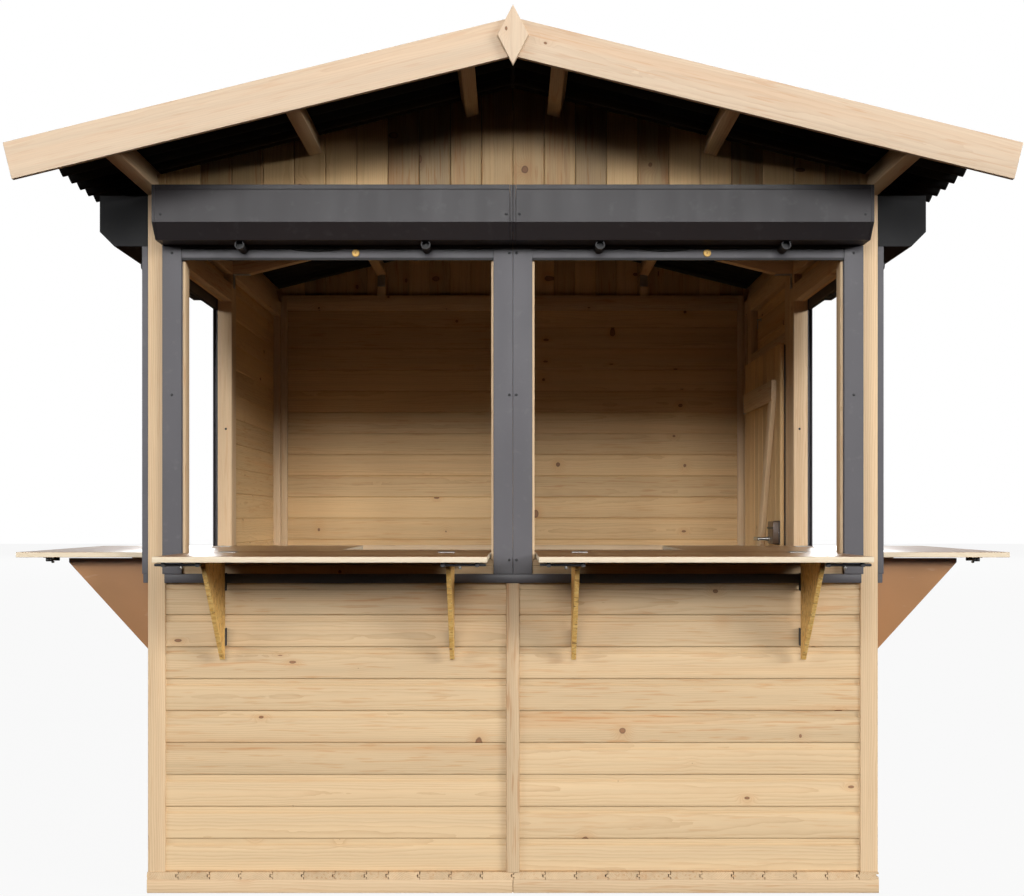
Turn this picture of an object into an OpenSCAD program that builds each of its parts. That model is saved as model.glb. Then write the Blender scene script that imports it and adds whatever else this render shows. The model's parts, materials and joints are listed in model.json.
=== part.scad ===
// Wooden market stall: framed and boarded panels on a timber floor, a low
// gabled roof of corrugated sheet, roller shutters outside the wide openings,
// and counter flaps that fold up inside the shutters.
// Origin: centre of the footprint, on the ground. Front faces -Y.

/* [Body] */
// Width across the side walls
body_w = 2500; // [2100:10:3200]
// Depth from the front wall face to the back wall face
body_d = 2500; // [2100:10:3200]
// Height of the side walls above the ground
eave_h = 2389; // [2340:1:2700]
// Thickness of a wall frame
wall_t = 60; // [55:1:80]
// Thickness of the wall boards
board_t = 19; // [15:1:24]
// Setback of the boards behind the outer wall face
board_in = 7; // [4:1:12]

/* [Base] */
// Height of the base beams
beam_h = 47; // [40:1:80]
// Width of a base beam
beam_w = 70; // [45:1:100]
// Number of joists between the front and back beams
joist_n = 4; // [2:1:6]
// Thickness of the floor boards
floor_t = 25; // [19:1:32]
// Lip of base and floor beyond the wall faces
floor_lip = 3; // [1:1:10]

/* [Wall frames] */
// Width of a panel stile
stile_w = 74; // [60:1:100]
// Width of the post halfway along a side wall
mid_post_w = 96; // [80:1:120]
// Width of the rear stile of a side wall
rear_stile_w = 90; // [70:1:110]
// Width of the boarding between the doorway's hinge post and the rear stile
rear_infill = 80; // [40:5:120]
// Width of the outer stiles of the front panels
outer_stile_w = 69; // [60:1:100]
// Width of the outer studs of the back wall
back_stud_w = 30; // [24:1:60]
// Height of a horizontal frame rail
rail_h = 74; // [60:1:100]
// Open joint between two members that stand side by side
joint_gap = 1; // [0.5:0.5:2]
// Rise of the front and back wall plates above the side walls
plate_rise = 36; // [20:1:60]
// Width of the batten over the middle joint of the front wall
batten_w = 45; // [35:1:60]
// Thickness of the batten
batten_t = 16; // [12:1:19]

/* [Counter] */
// Height of the counter top above the ground
counter_h = 1165; // [1000:5:1250]
// Thickness of the counter boards
flap_t = 18; // [15:1:24]
// Projection of a flap from the wall face
flap_out = 480; // [380:5:560]
// Gap between a flap and the wall frame around it
flap_gap = 6; // [5:1:10]
// Depth of the inside worktop behind the front wall
front_top_d = 390; // [300:10:500]
// Depth of the inside worktops along the side walls
side_top_d = 550; // [400:10:650]
// Free wall between the side worktops and the rear bay
side_top_gap = 46; // [30:2:120]
// Section of the battens under the inside worktop
bearer = 40; // [30:1:60]
// Height of the sill trim that the shutters close on
trim_h = 31; // [25:1:45]
// Thickness of the sill trim
trim_t = 16; // [12:1:25]
// Drop of the trim's top below the counter top
trim_drop = 72; // [65:1:90]

/* [Brackets] */
// Thickness of a flap bracket
bracket_t = 15; // [12:1:18]
// Length of a bracket from its hinge edge
bracket_l = 310; // [240:5:360]
// Height of a bracket at its hinge edge
bracket_h = 338; // [260:2:400]
// Blunt width at the foot and height at the nose of a bracket
bracket_nose = 15; // [10:1:25]
// Distance of a bracket from the edge of its opening
bracket_inset = 140; // [100:5:180]
// Free space between a bracket and what it passes
clearance = 6; // [5:1:10]

/* [Shutters] */
// Depth of a shutter box
box_d = 165; // [137:1:205]
// Height of a shutter box
box_h = 174; // [150:1:205]
// Chamfer along the lower outer edge of a box
box_chamfer = 50; // [30:1:60]
// Height of the box underside above the ground
box_z = 2214; // [2150:1:2250]
// Width of a guide rail
guide_w = 66; // [50:1:90]
// Depth of a guide rail
guide_d = 20; // [18:1:34]
// Drop of the openings' head below the boxes
head_drop = 14; // [5:1:30]
// Overlap of the outer guide rails onto the corner post
guide_lap = 6; // [0:1:20]
// Height of the bottom slat of a rolled up shutter
slat_h = 35; // [30:1:60]
// Thickness of the bottom slat
slat_t = 12; // [8:1:16]

/* [Door] */
// Clear width of the doorway
door_w = 880; // [760:2:920]
// Clear height of the doorway above the floor
door_h = 1950; // [1900:5:2000]
// Width of the posts beside the doorway
door_post_w = 100; // [80:1:110]
// Overlap of the door leaf onto the wall frame inside
leaf_lap = 21; // [15:1:30]
// Thickness of the door's ledges and brace
ledge_t = 22; // [18:1:28]
// Height of a ledge
ledge_h = 95; // [80:1:120]
// Width of the brace
brace_w = 80; // [60:1:100]
// Length of the rim lock
lock_l = 130; // [110:5:150]
// Height of the rim lock
lock_h = 104; // [90:1:120]
// Thickness of the rim lock
lock_t = 34; // [26:1:36]
// Height of the lever above the ground
lever_h = 1190; // [1050:5:1250]
// Length of the lever's grip
lever_l = 118; // [100:2:130]

/* [Roof] */
// Slope of the roof in degrees
pitch = 13.8; // [10:0.2:20]
// Overhang of the roof beyond the front and back wall faces
overhang = 540; // [350:10:700]
// Overhang of the roof sheets beyond the side walls
eave_out = 247; // [180:1:350]
// Width of a purlin
purlin_w = 45; // [40:1:60]
// Height of a purlin
purlin_h = 88; // [70:1:110]
// Distance of the ridge purlins' outer corner from the ridge
ridge_purlin_x = 160; // [100:1:220]
// Height of the rafters over the side posts
rafter_h = 97; // [80:1:120]
// Thickness of a rafter
rafter_w = 45; // [40:1:60]
// Pitch of the roof sheet's waves
wave_l = 95; // [76:1:110]
// Height of the roof sheet's waves
wave_h = 36; // [28:1:42]
// Thickness of a roof sheet
sheet_t = 3; // [2.5:0.5:5]
// Width of one wing of the ridge cap
cap_w = 150; // [120:5:200]
// Distance of the ridge cap's ends behind the bargeboards
cap_back = 30; // [10:5:80]
// Width of a bargeboard
barge_w = 115; // [95:1:150]
// Thickness of a bargeboard
barge_t = 19; // [16:1:24]
// Drop of the gable boards' sloping edge below the sheets
gable_drop = 27; // [15:1:40]
// Rise of a bargeboard's top edge above the sheet's underside
barge_rise = 24; // [15:1:45]
// Distance of a bargeboard's foot beyond the sheets
barge_out = 30; // [10:1:60]
// Height of the diamond at the gable top
diamond_h = 181; // [140:1:220]
// Width of the diamond
diamond_w = 95.5; // [80:0.5:130]

/* [Hidden] */
// Facets of round parts: above 12 they are true circles
$fn = 40;

// Half sizes and faces of the body
half_w = body_w / 2;
half_d = body_d / 2;
in_w = half_w - wall_t;
in_d = half_d - wall_t;
front_y = -half_d;

// Heights, from the ground up
floor_z = beam_h + floor_t;
plate_z = eave_h + plate_rise;
flap_under = counter_h - flap_t;
sill_z = flap_under - flap_gap + joint_gap;
trim_top = counter_h - trim_drop;
open_top = box_z - head_drop;
slat_z = open_top - slat_h;
door_top = floor_z + door_h;

// Depth of the rails, which stand behind the boards
rail_t = wall_t - board_in - board_t;

// The side wall's openings, as distances behind the front face
// and the rear bay, which keeps room for the doorway between its posts
rear_stile_y0 = body_d - rear_stile_w;
hinge_post_y1 = rear_stile_y0 - rear_infill;
door_y1 = hinge_post_y1 - door_post_w;
door_y0 = door_y1 - door_w;
bay_y = door_y0 - door_post_w;
side_open_0 = stile_w;
side_open_1 = bay_y - mid_post_w;
// The doorway's front post stands behind the middle post
rear_y0 = bay_y + joint_gap;

// The front wall's openings, as distances from the middle
front_open_0 = stile_w;
front_open_1 = in_w - outer_stile_w;
guide_x1 = half_w - wall_t + guide_lap;
guide_x0 = guide_x1 - guide_w;
side_guide_y = side_open_1 + guide_w;

// Roof planes: heights at the ridge line
slope = tan(pitch);
purlin_c = eave_h + half_w * slope;
sheet_c = purlin_c + purlin_h / cos(pitch);
gable_c = sheet_c - gable_drop;
barge_top_c = sheet_c + barge_rise;
eave_x = half_w + eave_out;
roof_y = half_d + overhang;
roof_in_y = roof_y - barge_t;
// The middle purlins stand a little nearer the ridge than halfway
purlin_shift = 8;
middle_purlin_x = (ridge_purlin_x + half_w) / 2 - purlin_shift;

// Hinge line of the flaps, behind the wall face and short of its inside
hinge_set = 5;
flap_in = wall_t - hinge_set;

// One block between opposite corners
module block(x0, x1, y0, y1, z0, z1) {
    translate([x0, y0, z0])
        cube([x1 - x0, y1 - y0, z1 - z0]);
}

// A block placed by its distance behind the front wall face
module deep_block(x0, x1, d0, d1, z0, z1) {
    block(x0, x1, front_y + d0, front_y + d1, z0, z1);
}

// The same shape on the right and on the left
module both_sides() {
    children();
    mirror([1, 0, 0])
        children();
}

// The same shape at the front and at the back
module both_ends() {
    children();
    mirror([0, 1, 0])
        children();
}

// An outline drawn in X and Z, extruded between two Y values
module upright(y0, y1) {
    translate([0, y1, 0])
        rotate([90, 0, 0])
            linear_extrude(y1 - y0)
                children();
}

// Section of a purlin on the right slope, from its lower outer corner
module purlin_section(x, extra = 0) {
    u = [-cos(pitch), sin(pitch)];
    n = [sin(pitch), cos(pitch)];
    p = [x, purlin_c - x * slope] - extra * u - extra * n;
    w = purlin_w + 2 * extra;
    h = purlin_h + 2 * extra;
    polygon([p, p + w * u, p + w * u + h * n, p + h * n]);
}

// ---------------------------------------------------------------- base

module base_end_beams() {
    color("burlywood")
        both_sides()
            both_ends()
                block(joint_gap, half_w + floor_lip, -half_d - floor_lip, -half_d + beam_w, 0, beam_h);
}

module base_side_beams() {
    color("burlywood")
        both_sides()
            block(half_w - beam_w, half_w + floor_lip, -half_d + beam_w, half_d - beam_w, 0, beam_h);
}

module floor_joists() {
    step = (body_d - beam_w) / (joist_n + 1);
    color("burlywood")
        for (i = [1:joist_n])
            block(-half_w + beam_w, half_w - beam_w,
                  front_y + i * step, front_y + i * step + beam_w, 0, beam_h);
}

module floor_boards() {
    color("wheat")
        block(-half_w - floor_lip, half_w + floor_lip,
              -half_d - floor_lip, half_d + floor_lip, beam_h, floor_z);
}

// ---------------------------------------------------------- front wall

// Stiles of the front panels, cut back behind the boards below the sill
module front_posts() {
    cut = 1;
    color("wheat")
        both_sides()
            for (x = [[joint_gap / 2, front_open_0], [front_open_1, in_w]])
                difference() {
                    deep_block(x[0], x[1], 0, wall_t, floor_z, plate_z);
                    deep_block(x[0] - cut, x[1] + cut, -cut, wall_t - rail_t, floor_z - cut, sill_z);
                }
}

// Rails of one front panel: foot, sill, head and top
module front_rails() {
    z = [[floor_z, floor_z + rail_h], [sill_z - rail_h, sill_z],
         [open_top, open_top + rail_h], [plate_z - rail_h, plate_z]];
    color("wheat")
        both_sides()
            for (r = z)
                deep_block(front_open_0, front_open_1, wall_t - rail_t, wall_t, r[0], r[1]);
}

// Boards over the stiles below the sill, and between them above the openings
module front_wall_boards() {
    color("burlywood")
        both_sides() {
            deep_block(joint_gap / 2, in_w, board_in, board_in + board_t, floor_z, sill_z);
            deep_block(front_open_0, front_open_1, board_in, board_in + board_t, open_top, plate_z);
        }
}

module front_batten() {
    color("wheat")
        deep_block(-batten_w / 2, batten_w / 2, board_in - batten_t, board_in, floor_z, trim_top - trim_h);
}

module sill_trims() {
    color("dimgray") {
        deep_block(-in_w, in_w, -trim_t, board_in, trim_top - trim_h, trim_top);
        both_sides()
            deep_block(half_w, half_w + trim_t, 0, side_guide_y, trim_top - trim_h, trim_top);
    }
}

// ---------------------------------------------------------- side walls

// Posts between pairs of distances, drawn for the right wall
module side_posts(spans) {
    for (d = spans)
        deep_block(in_w, half_w, d[0], d[1], floor_z, eave_h);
}

// Rails of a bay between two distances, at the given heights
module side_rail_set(d0, d1, heights) {
    for (z = heights)
        deep_block(in_w, in_w + rail_t, d0, d1, z[0], z[1]);
}

// Rails of the bay with the wide opening
module side_bay_rails() {
    side_rail_set(side_open_0, side_open_1,
                  [[floor_z, floor_z + rail_h], [sill_z - rail_h, sill_z],
                   [open_top, open_top + rail_h], [eave_h - rail_h, eave_h]]);
}

// Boards of a bay between two distances and two heights
module side_boards(d0, d1, z0, z1) {
    deep_block(half_w - board_in - board_t, half_w - board_in, d0, d1, z0, z1);
}

// Boards above and below the wide opening
module side_bay_boards() {
    side_boards(side_open_0, side_open_1, floor_z, sill_z);
    side_boards(side_open_0, side_open_1, open_top, eave_h);
}

module left_wall_posts() {
    color("wheat")
        mirror([1, 0, 0])
            side_posts([[0, side_open_0], [side_open_1, bay_y], [rear_stile_y0, body_d]]);
}

module left_wall_rails() {
    color("wheat")
        mirror([1, 0, 0]) {
            side_bay_rails();
            side_rail_set(bay_y, rear_stile_y0,
                          [[floor_z, floor_z + rail_h], [sill_z - rail_h, sill_z],
                           [eave_h - rail_h, eave_h]]);
        }
}

module left_wall_boards() {
    color("burlywood")
        mirror([1, 0, 0]) {
            side_bay_boards();
            side_boards(bay_y, rear_stile_y0, floor_z, eave_h);
        }
}

module right_wall_posts() {
    color("wheat")
        side_posts([[0, side_open_0], [side_open_1, bay_y], [rear_y0, door_y0],
                    [door_y1, hinge_post_y1], [rear_stile_y0, body_d]]);
}

module right_wall_rails() {
    color("wheat") {
        side_bay_rails();
        side_rail_set(door_y0, door_y1, [[door_top, door_top + rail_h], [eave_h - rail_h, eave_h]]);
        side_rail_set(hinge_post_y1, rear_stile_y0,
                      [[floor_z, floor_z + rail_h], [eave_h - rail_h, eave_h]]);
    }
}

module right_wall_boards() {
    color("burlywood") {
        side_bay_boards();
        side_boards(door_y0, door_y1, door_top, eave_h);
        side_boards(hinge_post_y1, rear_stile_y0, floor_z, eave_h);
    }
}

// ----------------------------------------------------------- back wall

module back_wall_posts() {
    color("wheat") {
        both_sides()
            block(in_w - back_stud_w, in_w, in_d, half_d, floor_z, plate_z);
        block(-stile_w / 2, stile_w / 2, in_d, half_d, floor_z, plate_z);
    }
}

module back_wall_rails() {
    color("wheat")
        both_sides()
            for (z = [floor_z, sill_z - rail_h, plate_z - rail_h])
                block(stile_w / 2, in_w - back_stud_w, in_d, in_d + rail_t, z, z + rail_h);
}

module back_wall_boards() {
    color("burlywood")
        both_sides()
            block(stile_w / 2, in_w - back_stud_w,
                  half_d - board_in - board_t, half_d - board_in, floor_z, plate_z);
}

// -------------------------------------------------------------- gables

// Gable outline above the wall plate, cut round the purlins
module gable_outline() {
    difference() {
        polygon([[-half_w, eave_h], [-in_w, eave_h], [-in_w, plate_z], [in_w, plate_z],
                 [in_w, eave_h], [half_w, eave_h], [half_w, gable_c - half_w * slope],
                 [0, gable_c], [-half_w, gable_c - half_w * slope]]);
        both_sides()
            for (x = [ridge_purlin_x, middle_purlin_x, half_w])
                purlin_section(x, joint_gap);
    }
}

module front_gable() {
    color("burlywood")
        upright(front_y + board_in, front_y + board_in + board_t)
            gable_outline();
}

module back_gable() {
    color("burlywood")
        upright(half_d - board_in - board_t, half_d - board_in)
            gable_outline();
}

// Short studs inside the gables under the middle purlins and the ridge
module gable_studs() {
    z_mid = purlin_c - middle_purlin_x * slope;
    z_top = purlin_c - stile_w / 2 * slope;
    color("wheat")
        both_ends() {
            both_sides()
                block(middle_purlin_x - purlin_w, middle_purlin_x,
                      half_d - wall_t, half_d - wall_t + rail_t, plate_z, z_mid);
            block(-stile_w / 2, stile_w / 2,
                  half_d - wall_t, half_d - wall_t + rail_t, plate_z, z_top);
        }
}

// ---------------------------------------------------------------- roof

// Rafters from the middle posts to the ridge, under the purlins
module rafters() {
    // Flat cut that raises the foot, and the rafters' place on the middle posts
    foot_rise = 14;
    set_back = 20;
    drop = rafter_h / cos(pitch);
    z_end = purlin_c - in_w * slope - rafter_h + foot_rise;
    x_flat = (purlin_c - drop - z_end) / slope;
    color("wheat")
        both_sides()
            upright(front_y + side_open_1 + set_back, front_y + side_open_1 + set_back + rafter_w)
                polygon([[joint_gap, purlin_c - joint_gap * slope - drop], [x_flat, z_end],
                         [in_w, z_end], [in_w, purlin_c - in_w * slope],
                         [joint_gap, purlin_c - joint_gap * slope]]);
}

// A pair of purlins from bargeboard to bargeboard
module purlin_pair(x) {
    both_sides()
        upright(-roof_in_y, roof_in_y)
            purlin_section(x);
}

module ridge_purlins() {
    color("burlywood")
        purlin_pair(ridge_purlin_x);
}

module middle_purlins() {
    color("burlywood")
        purlin_pair(middle_purlin_x);
}

module eave_purlins() {
    color("burlywood")
        purlin_pair(half_w);
}

// One corrugated sheet on the right slope, its waves running down the roof
module roof_sheet() {
    // Gap between the two slopes' sheets, and straight steps in one wave
    ridge_gap = 3;
    steps = 8;
    waves = round(2 * roof_in_y / wave_l);
    n = waves * steps;
    rise = (wave_h - sheet_t) / 2;
    under = [for (i = [0:n]) [-roof_in_y + 2 * roof_in_y * i / n, rise * (1 - cos(360 * i / steps))]];
    over = [for (i = [n:-1:0]) [under[i][0], under[i][1] + sheet_t]];
    translate([ridge_gap, 0, sheet_c - ridge_gap * slope])
        rotate([0, pitch, 0])
            rotate([90, 0, 90])
                linear_extrude((eave_x - ridge_gap) / cos(pitch))
                    polygon(concat(under, over));
}

module left_roof_sheet() {
    color("dimgray")
        mirror([1, 0, 0])
            roof_sheet();
}

module right_roof_sheet() {
    color("dimgray")
        roof_sheet();
}

module ridge_cap() {
    rest_gap = 0.5;
    crest = sheet_c + (wave_h + rest_gap) / cos(pitch);
    t = sheet_t / cos(pitch);
    color("dimgray")
        upright(-roof_in_y + cap_back, roof_in_y - cap_back)
            polygon([[-cap_w, crest - cap_w * slope], [0, crest], [cap_w, crest - cap_w * slope],
                     [cap_w, crest + t - cap_w * slope], [0, crest + t],
                     [-cap_w, crest + t - cap_w * slope]]);
}

// Two bargeboards that meet on the middle line, with square cut ends
module bargeboards() {
    foot_x = eave_x + barge_out;
    n = [sin(pitch), cos(pitch)];
    low = barge_top_c - barge_w / cos(pitch);
    foot = [foot_x, low - foot_x * slope];
    both_sides()
        upright(-roof_y, -roof_in_y)
            polygon([[joint_gap, low - joint_gap * slope], foot, foot + barge_w * n,
                     [joint_gap, barge_top_c - joint_gap * slope]]);
}

module front_bargeboards() {
    color("bisque")
        bargeboards();
}

module back_bargeboards() {
    color("bisque")
        mirror([0, 1, 0])
            bargeboards();
}

module gable_diamonds() {
    z = barge_top_c - barge_w / cos(pitch) / 2;
    color("bisque")
        both_ends()
            upright(-roof_y - barge_t, -roof_y)
                polygon([[-diamond_w / 2, z], [0, z - diamond_h / 2],
                         [diamond_w / 2, z], [0, z + diamond_h / 2]]);
}

// ------------------------------------------------------------ shutters

// Section of a shutter box, from the wall outwards
module box_section() {
    polygon([[0, 0], [box_d - box_chamfer, 0], [box_d, box_chamfer], [box_d, box_h], [0, box_h]]);
}

module front_shutter_boxes() {
    color("dimgray")
        both_sides()
            translate([joint_gap / 2, front_y, box_z])
                rotate([90, 0, 90])
                    mirror([1, 0, 0])
                        linear_extrude(guide_x1 - joint_gap / 2)
                            box_section();
}

module side_shutter_boxes() {
    color("dimgray")
        both_sides()
            translate([half_w, front_y + side_guide_y, box_z])
                rotate([90, 0, 0])
                    linear_extrude(side_guide_y)
                        box_section();
}

module guide_rails() {
    color("dimgray")
        both_sides() {
            deep_block(joint_gap / 2, guide_w, -guide_d, 0, trim_top, box_z);
            deep_block(guide_x0, guide_x1, -guide_d, 0, trim_top, box_z);
            deep_block(half_w, half_w + guide_d, 0, guide_w, trim_top, box_z);
            deep_block(half_w, half_w + guide_d, side_open_1, side_guide_y, trim_top, box_z);
        }
}

// Bottom slats of the rolled up shutters, hanging between the guide rails
module shutter_bottom_slats() {
    mid = guide_d / 2;
    color("dimgray")
        both_sides() {
            deep_block(guide_w, guide_x0, -mid - slat_t / 2, -mid + slat_t / 2, slat_z, box_z);
            deep_block(half_w + mid - slat_t / 2, half_w + mid + slat_t / 2,
                       guide_w, side_open_1, slat_z, box_z);
        }
}

// ------------------------------------------------------------- counter

module front_worktop() {
    color("sienna")
        deep_block(-in_w, in_w, wall_t, wall_t + front_top_d, flap_under, counter_h);
}

module side_worktops() {
    color("sienna")
        both_sides()
            deep_block(in_w - side_top_d, in_w, wall_t + front_top_d, bay_y - side_top_gap,
                       flap_under, counter_h);
}

// Battens that carry the worktops along the walls
module worktop_bearers() {
    color("wheat") {
        deep_block(-in_w, in_w, wall_t, wall_t + bearer, flap_under - rail_h, flap_under);
        both_sides()
            deep_block(in_w - bearer, in_w, wall_t + bearer + joint_gap, side_open_1,
                       flap_under - rail_h, flap_under);
    }
}

// A front flap on the right side of the middle
module front_flap() {
    deep_block(front_open_0 + flap_gap, front_open_1 - flap_gap, -flap_out, flap_in,
               flap_under, counter_h);
}

module front_left_flap() {
    color("rosybrown")
        mirror([1, 0, 0])
            front_flap();
}

module front_right_flap() {
    color("rosybrown")
        front_flap();
}

// A side flap on the right wall
module side_flap() {
    deep_block(half_w - flap_in, half_w + flap_out,
               side_open_0 + flap_gap, side_open_1 - flap_gap, flap_under, counter_h);
}

module left_flap() {
    color("rosybrown")
        mirror([1, 0, 0])
            side_flap();
}

module right_flap() {
    color("rosybrown")
        side_flap();
}

// A triangular bracket that points along +X from its hinge edge, its
// thickness towards +Y, its top just under the flaps
module bracket() {
    top = flap_under - clearance;
    translate([0, bracket_t, top - bracket_h])
        rotate([90, 0, 0])
            linear_extrude(bracket_t)
                polygon([[0, 0], [bracket_nose, 0], [bracket_l, bracket_h - bracket_nose],
                         [bracket_l, bracket_h], [0, bracket_h]]);
}

// Hinge edge of the brackets, outside the wall face
bracket_off = trim_t + clearance;
// Hinge lines of the front brackets, from the middle
inner_x = front_open_0 + bracket_inset;
outer_x = front_open_1 - bracket_inset;
// Hinge lines of the side brackets, behind the front face
near_y = side_open_0 + bracket_inset;
far_y = side_open_1 - bracket_inset;

// A front bracket: its thickness lies on the side given by side
module front_bracket(x, side) {
    translate([x, front_y - bracket_off, 0])
        rotate([0, 0, -90])
            mirror([0, side > 0 ? 0 : 1, 0])
                bracket();
}

// A bracket on the right wall: its thickness lies on the side given by side
module wall_bracket(d, side) {
    translate([half_w + bracket_off, front_y + d, 0])
        mirror([0, side > 0 ? 0 : 1, 0])
            bracket();
}

module bracket_front_left_outer() {
    color("goldenrod")
        front_bracket(-outer_x, -1);
}

module bracket_front_left_inner() {
    color("goldenrod")
        front_bracket(-inner_x, 1);
}

module bracket_front_right_inner() {
    color("goldenrod")
        front_bracket(inner_x, -1);
}

module bracket_front_right_outer() {
    color("goldenrod")
        front_bracket(outer_x, 1);
}

module bracket_left_near() {
    color("peru")
        mirror([1, 0, 0])
            wall_bracket(near_y, -1);
}

module bracket_left_far() {
    color("peru")
        mirror([1, 0, 0])
            wall_bracket(far_y, 1);
}

module bracket_right_near() {
    color("peru")
        wall_bracket(near_y, -1);
}

module bracket_right_far() {
    color("peru")
        wall_bracket(far_y, 1);
}

// ---------------------------------------------------------------- door

// The leaf hangs inside the wall and laps onto its frame all round
leaf_out_x = in_w - clearance;
leaf_in_x = leaf_out_x - board_t;
ledge_x = leaf_in_x - ledge_t;
leaf_y0 = door_y0 - leaf_lap;
leaf_y1 = door_y1 + leaf_lap;
leaf_z0 = floor_z + clearance;
leaf_z1 = door_top + leaf_lap;
// Distances of the ledges from the leaf's sides, and from its foot and top
ledge_end = 84;
ledge_in = 150;
ledge_low = leaf_z0 + ledge_in;
ledge_high = leaf_z1 - ledge_in - ledge_h;
// Hinge knuckles, behind the leaf's rear edge
knuckle_r = 6;
hinge_plate_t = 3;
knuckle_x = leaf_in_x - hinge_plate_t;
knuckle_y = leaf_y1 + knuckle_r;

module door_boards() {
    color("burlywood")
        deep_block(leaf_in_x, leaf_out_x, leaf_y0, leaf_y1, leaf_z0, leaf_z1);
}

module door_ledges() {
    color("wheat")
        for (z = [ledge_low, ledge_high])
            deep_block(ledge_x, leaf_in_x, leaf_y0 + ledge_end, leaf_y1 - ledge_end, z, z + ledge_h);
}

// Brace from the hinge end of the lower ledge to the lock end of the upper
module door_brace() {
    z0 = ledge_low + ledge_h;
    z1 = ledge_high;
    foot = front_y + leaf_y1 - ledge_end - brace_w;
    head = front_y + leaf_y0 + ledge_end + brace_w;
    color("wheat")
        translate([ledge_x, 0, 0])
            rotate([90, 0, 90])
                linear_extrude(ledge_t)
                    polygon([[foot, z0], [foot + brace_w, z0], [head, z1], [head - brace_w, z1]]);
}

// Three hinges: a plate on the leaf and the knuckle it turns on
module door_hinges() {
    plate_l = 70;
    plate_h = 90;
    color("gray")
        for (z = [ledge_low + ledge_h / 2, (ledge_low + ledge_high + ledge_h) / 2, ledge_high + ledge_h / 2])
            translate([0, front_y, z - plate_h / 2]) {
                translate([knuckle_x, leaf_y1 - plate_l, 0])
                    cube([leaf_in_x - knuckle_x, plate_l + knuckle_r / 2, plate_h]);
                translate([knuckle_x, knuckle_y, 0])
                    cylinder(h = plate_h, r = knuckle_r);
            }
}

// Rim lock on the leaf, flush with its front edge, and the lever's spindle
// above the lock's foot and short of its rear end
spindle_rise = 24;
spindle_in = 35;
lock_x = leaf_in_x - lock_t;
lock_z = lever_h - spindle_rise;
lever_d = leaf_y0 + lock_l - spindle_in;

module door_lock() {
    color("dimgray")
        deep_block(lock_x, leaf_in_x, leaf_y0, leaf_y0 + lock_l, lock_z, lock_z + lock_h);
}

// Lever on the lock's face, its grip pointing to the hinges
module door_lever() {
    neck_l = 44;
    neck_r = 9;
    color("dimgray")
        translate([lock_x - neck_l, front_y + lever_d, lever_h]) {
            rotate([0, 90, 0])
                cylinder(h = neck_l - joint_gap, r = neck_r);
            translate([-neck_r / 2, -neck_r, -neck_r])
                cube([neck_r, lever_l, 2 * neck_r]);
        }
}

base_end_beams();
base_side_beams();
floor_joists();
floor_boards();
front_posts();
front_rails();
front_wall_boards();
front_batten();
sill_trims();
left_wall_posts();
left_wall_rails();
left_wall_boards();
right_wall_posts();
right_wall_rails();
right_wall_boards();
back_wall_posts();
back_wall_rails();
back_wall_boards();
front_gable();
back_gable();
gable_studs();
rafters();
ridge_purlins();
middle_purlins();
eave_purlins();
left_roof_sheet();
right_roof_sheet();
ridge_cap();
front_bargeboards();
back_bargeboards();
gable_diamonds();
front_shutter_boxes();
side_shutter_boxes();
guide_rails();
shutter_bottom_slats();
front_worktop();
side_worktops();
worktop_bearers();
front_left_flap();
front_right_flap();
left_flap();
right_flap();
bracket_front_left_outer();
bracket_front_left_inner();
bracket_front_right_inner();
bracket_front_right_outer();
bracket_left_near();
bracket_left_far();
bracket_right_near();
bracket_right_far();
door_boards();
door_ledges();
door_brace();
door_hinges();
door_lock();
door_lever();
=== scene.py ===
"""A wooden market stall, dressed piece by piece in the order it is put together."""

import json
import math

import bpy
import numpy as np
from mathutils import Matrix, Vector


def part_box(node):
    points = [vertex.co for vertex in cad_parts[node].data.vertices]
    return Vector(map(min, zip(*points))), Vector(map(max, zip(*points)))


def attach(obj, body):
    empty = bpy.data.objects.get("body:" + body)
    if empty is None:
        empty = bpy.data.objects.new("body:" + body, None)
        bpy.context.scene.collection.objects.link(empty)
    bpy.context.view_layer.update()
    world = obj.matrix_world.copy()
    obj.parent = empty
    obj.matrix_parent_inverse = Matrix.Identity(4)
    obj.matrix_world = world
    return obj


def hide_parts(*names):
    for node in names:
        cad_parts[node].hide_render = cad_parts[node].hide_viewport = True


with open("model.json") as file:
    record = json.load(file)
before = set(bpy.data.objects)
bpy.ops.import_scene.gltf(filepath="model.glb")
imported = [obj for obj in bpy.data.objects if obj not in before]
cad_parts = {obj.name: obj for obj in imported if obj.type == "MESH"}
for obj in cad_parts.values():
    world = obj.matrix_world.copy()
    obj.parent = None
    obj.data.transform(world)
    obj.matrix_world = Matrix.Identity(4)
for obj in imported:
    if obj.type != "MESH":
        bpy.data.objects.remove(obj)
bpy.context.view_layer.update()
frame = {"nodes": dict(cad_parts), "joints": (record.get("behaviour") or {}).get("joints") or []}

# ---------------------------------------------------------------- base
# Beams and joists of planed spruce that lie flat on the ground, two beams
# in line at each end. Every edge has a small planed arris.

log_yard = np.random.default_rng(11)


def node(tree, kind, inputs=(), **settings):
    """One shader node; inputs gives a number or a socket for an input by its name or place."""
    made = tree.nodes.new("ShaderNode" + kind)
    for key, value in settings.items():
        setattr(made, key, value)
    for key, value in dict(inputs).items():
        if isinstance(value, bpy.types.NodeSocket):
            tree.links.new(value, made.inputs[key])
        else:
            made.inputs[key].default_value = value
    return made


def calc(tree, operation, *values, clamp=False):
    """The result of one Math node on numbers or sockets."""
    made = node(tree, "Math", enumerate(values), operation=operation)
    made.use_clamp = clamp
    return made.outputs[0]


def plus(tree, base, value, amount):
    """base + value * amount."""
    return calc(tree, "ADD", base, calc(tree, "MULTIPLY", value, amount))


def swing(tree, value, amount):
    """(value - 0.5) * amount, which swings about zero."""
    return calc(tree, "MULTIPLY", calc(tree, "SUBTRACT", value, 0.5), amount)


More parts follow.
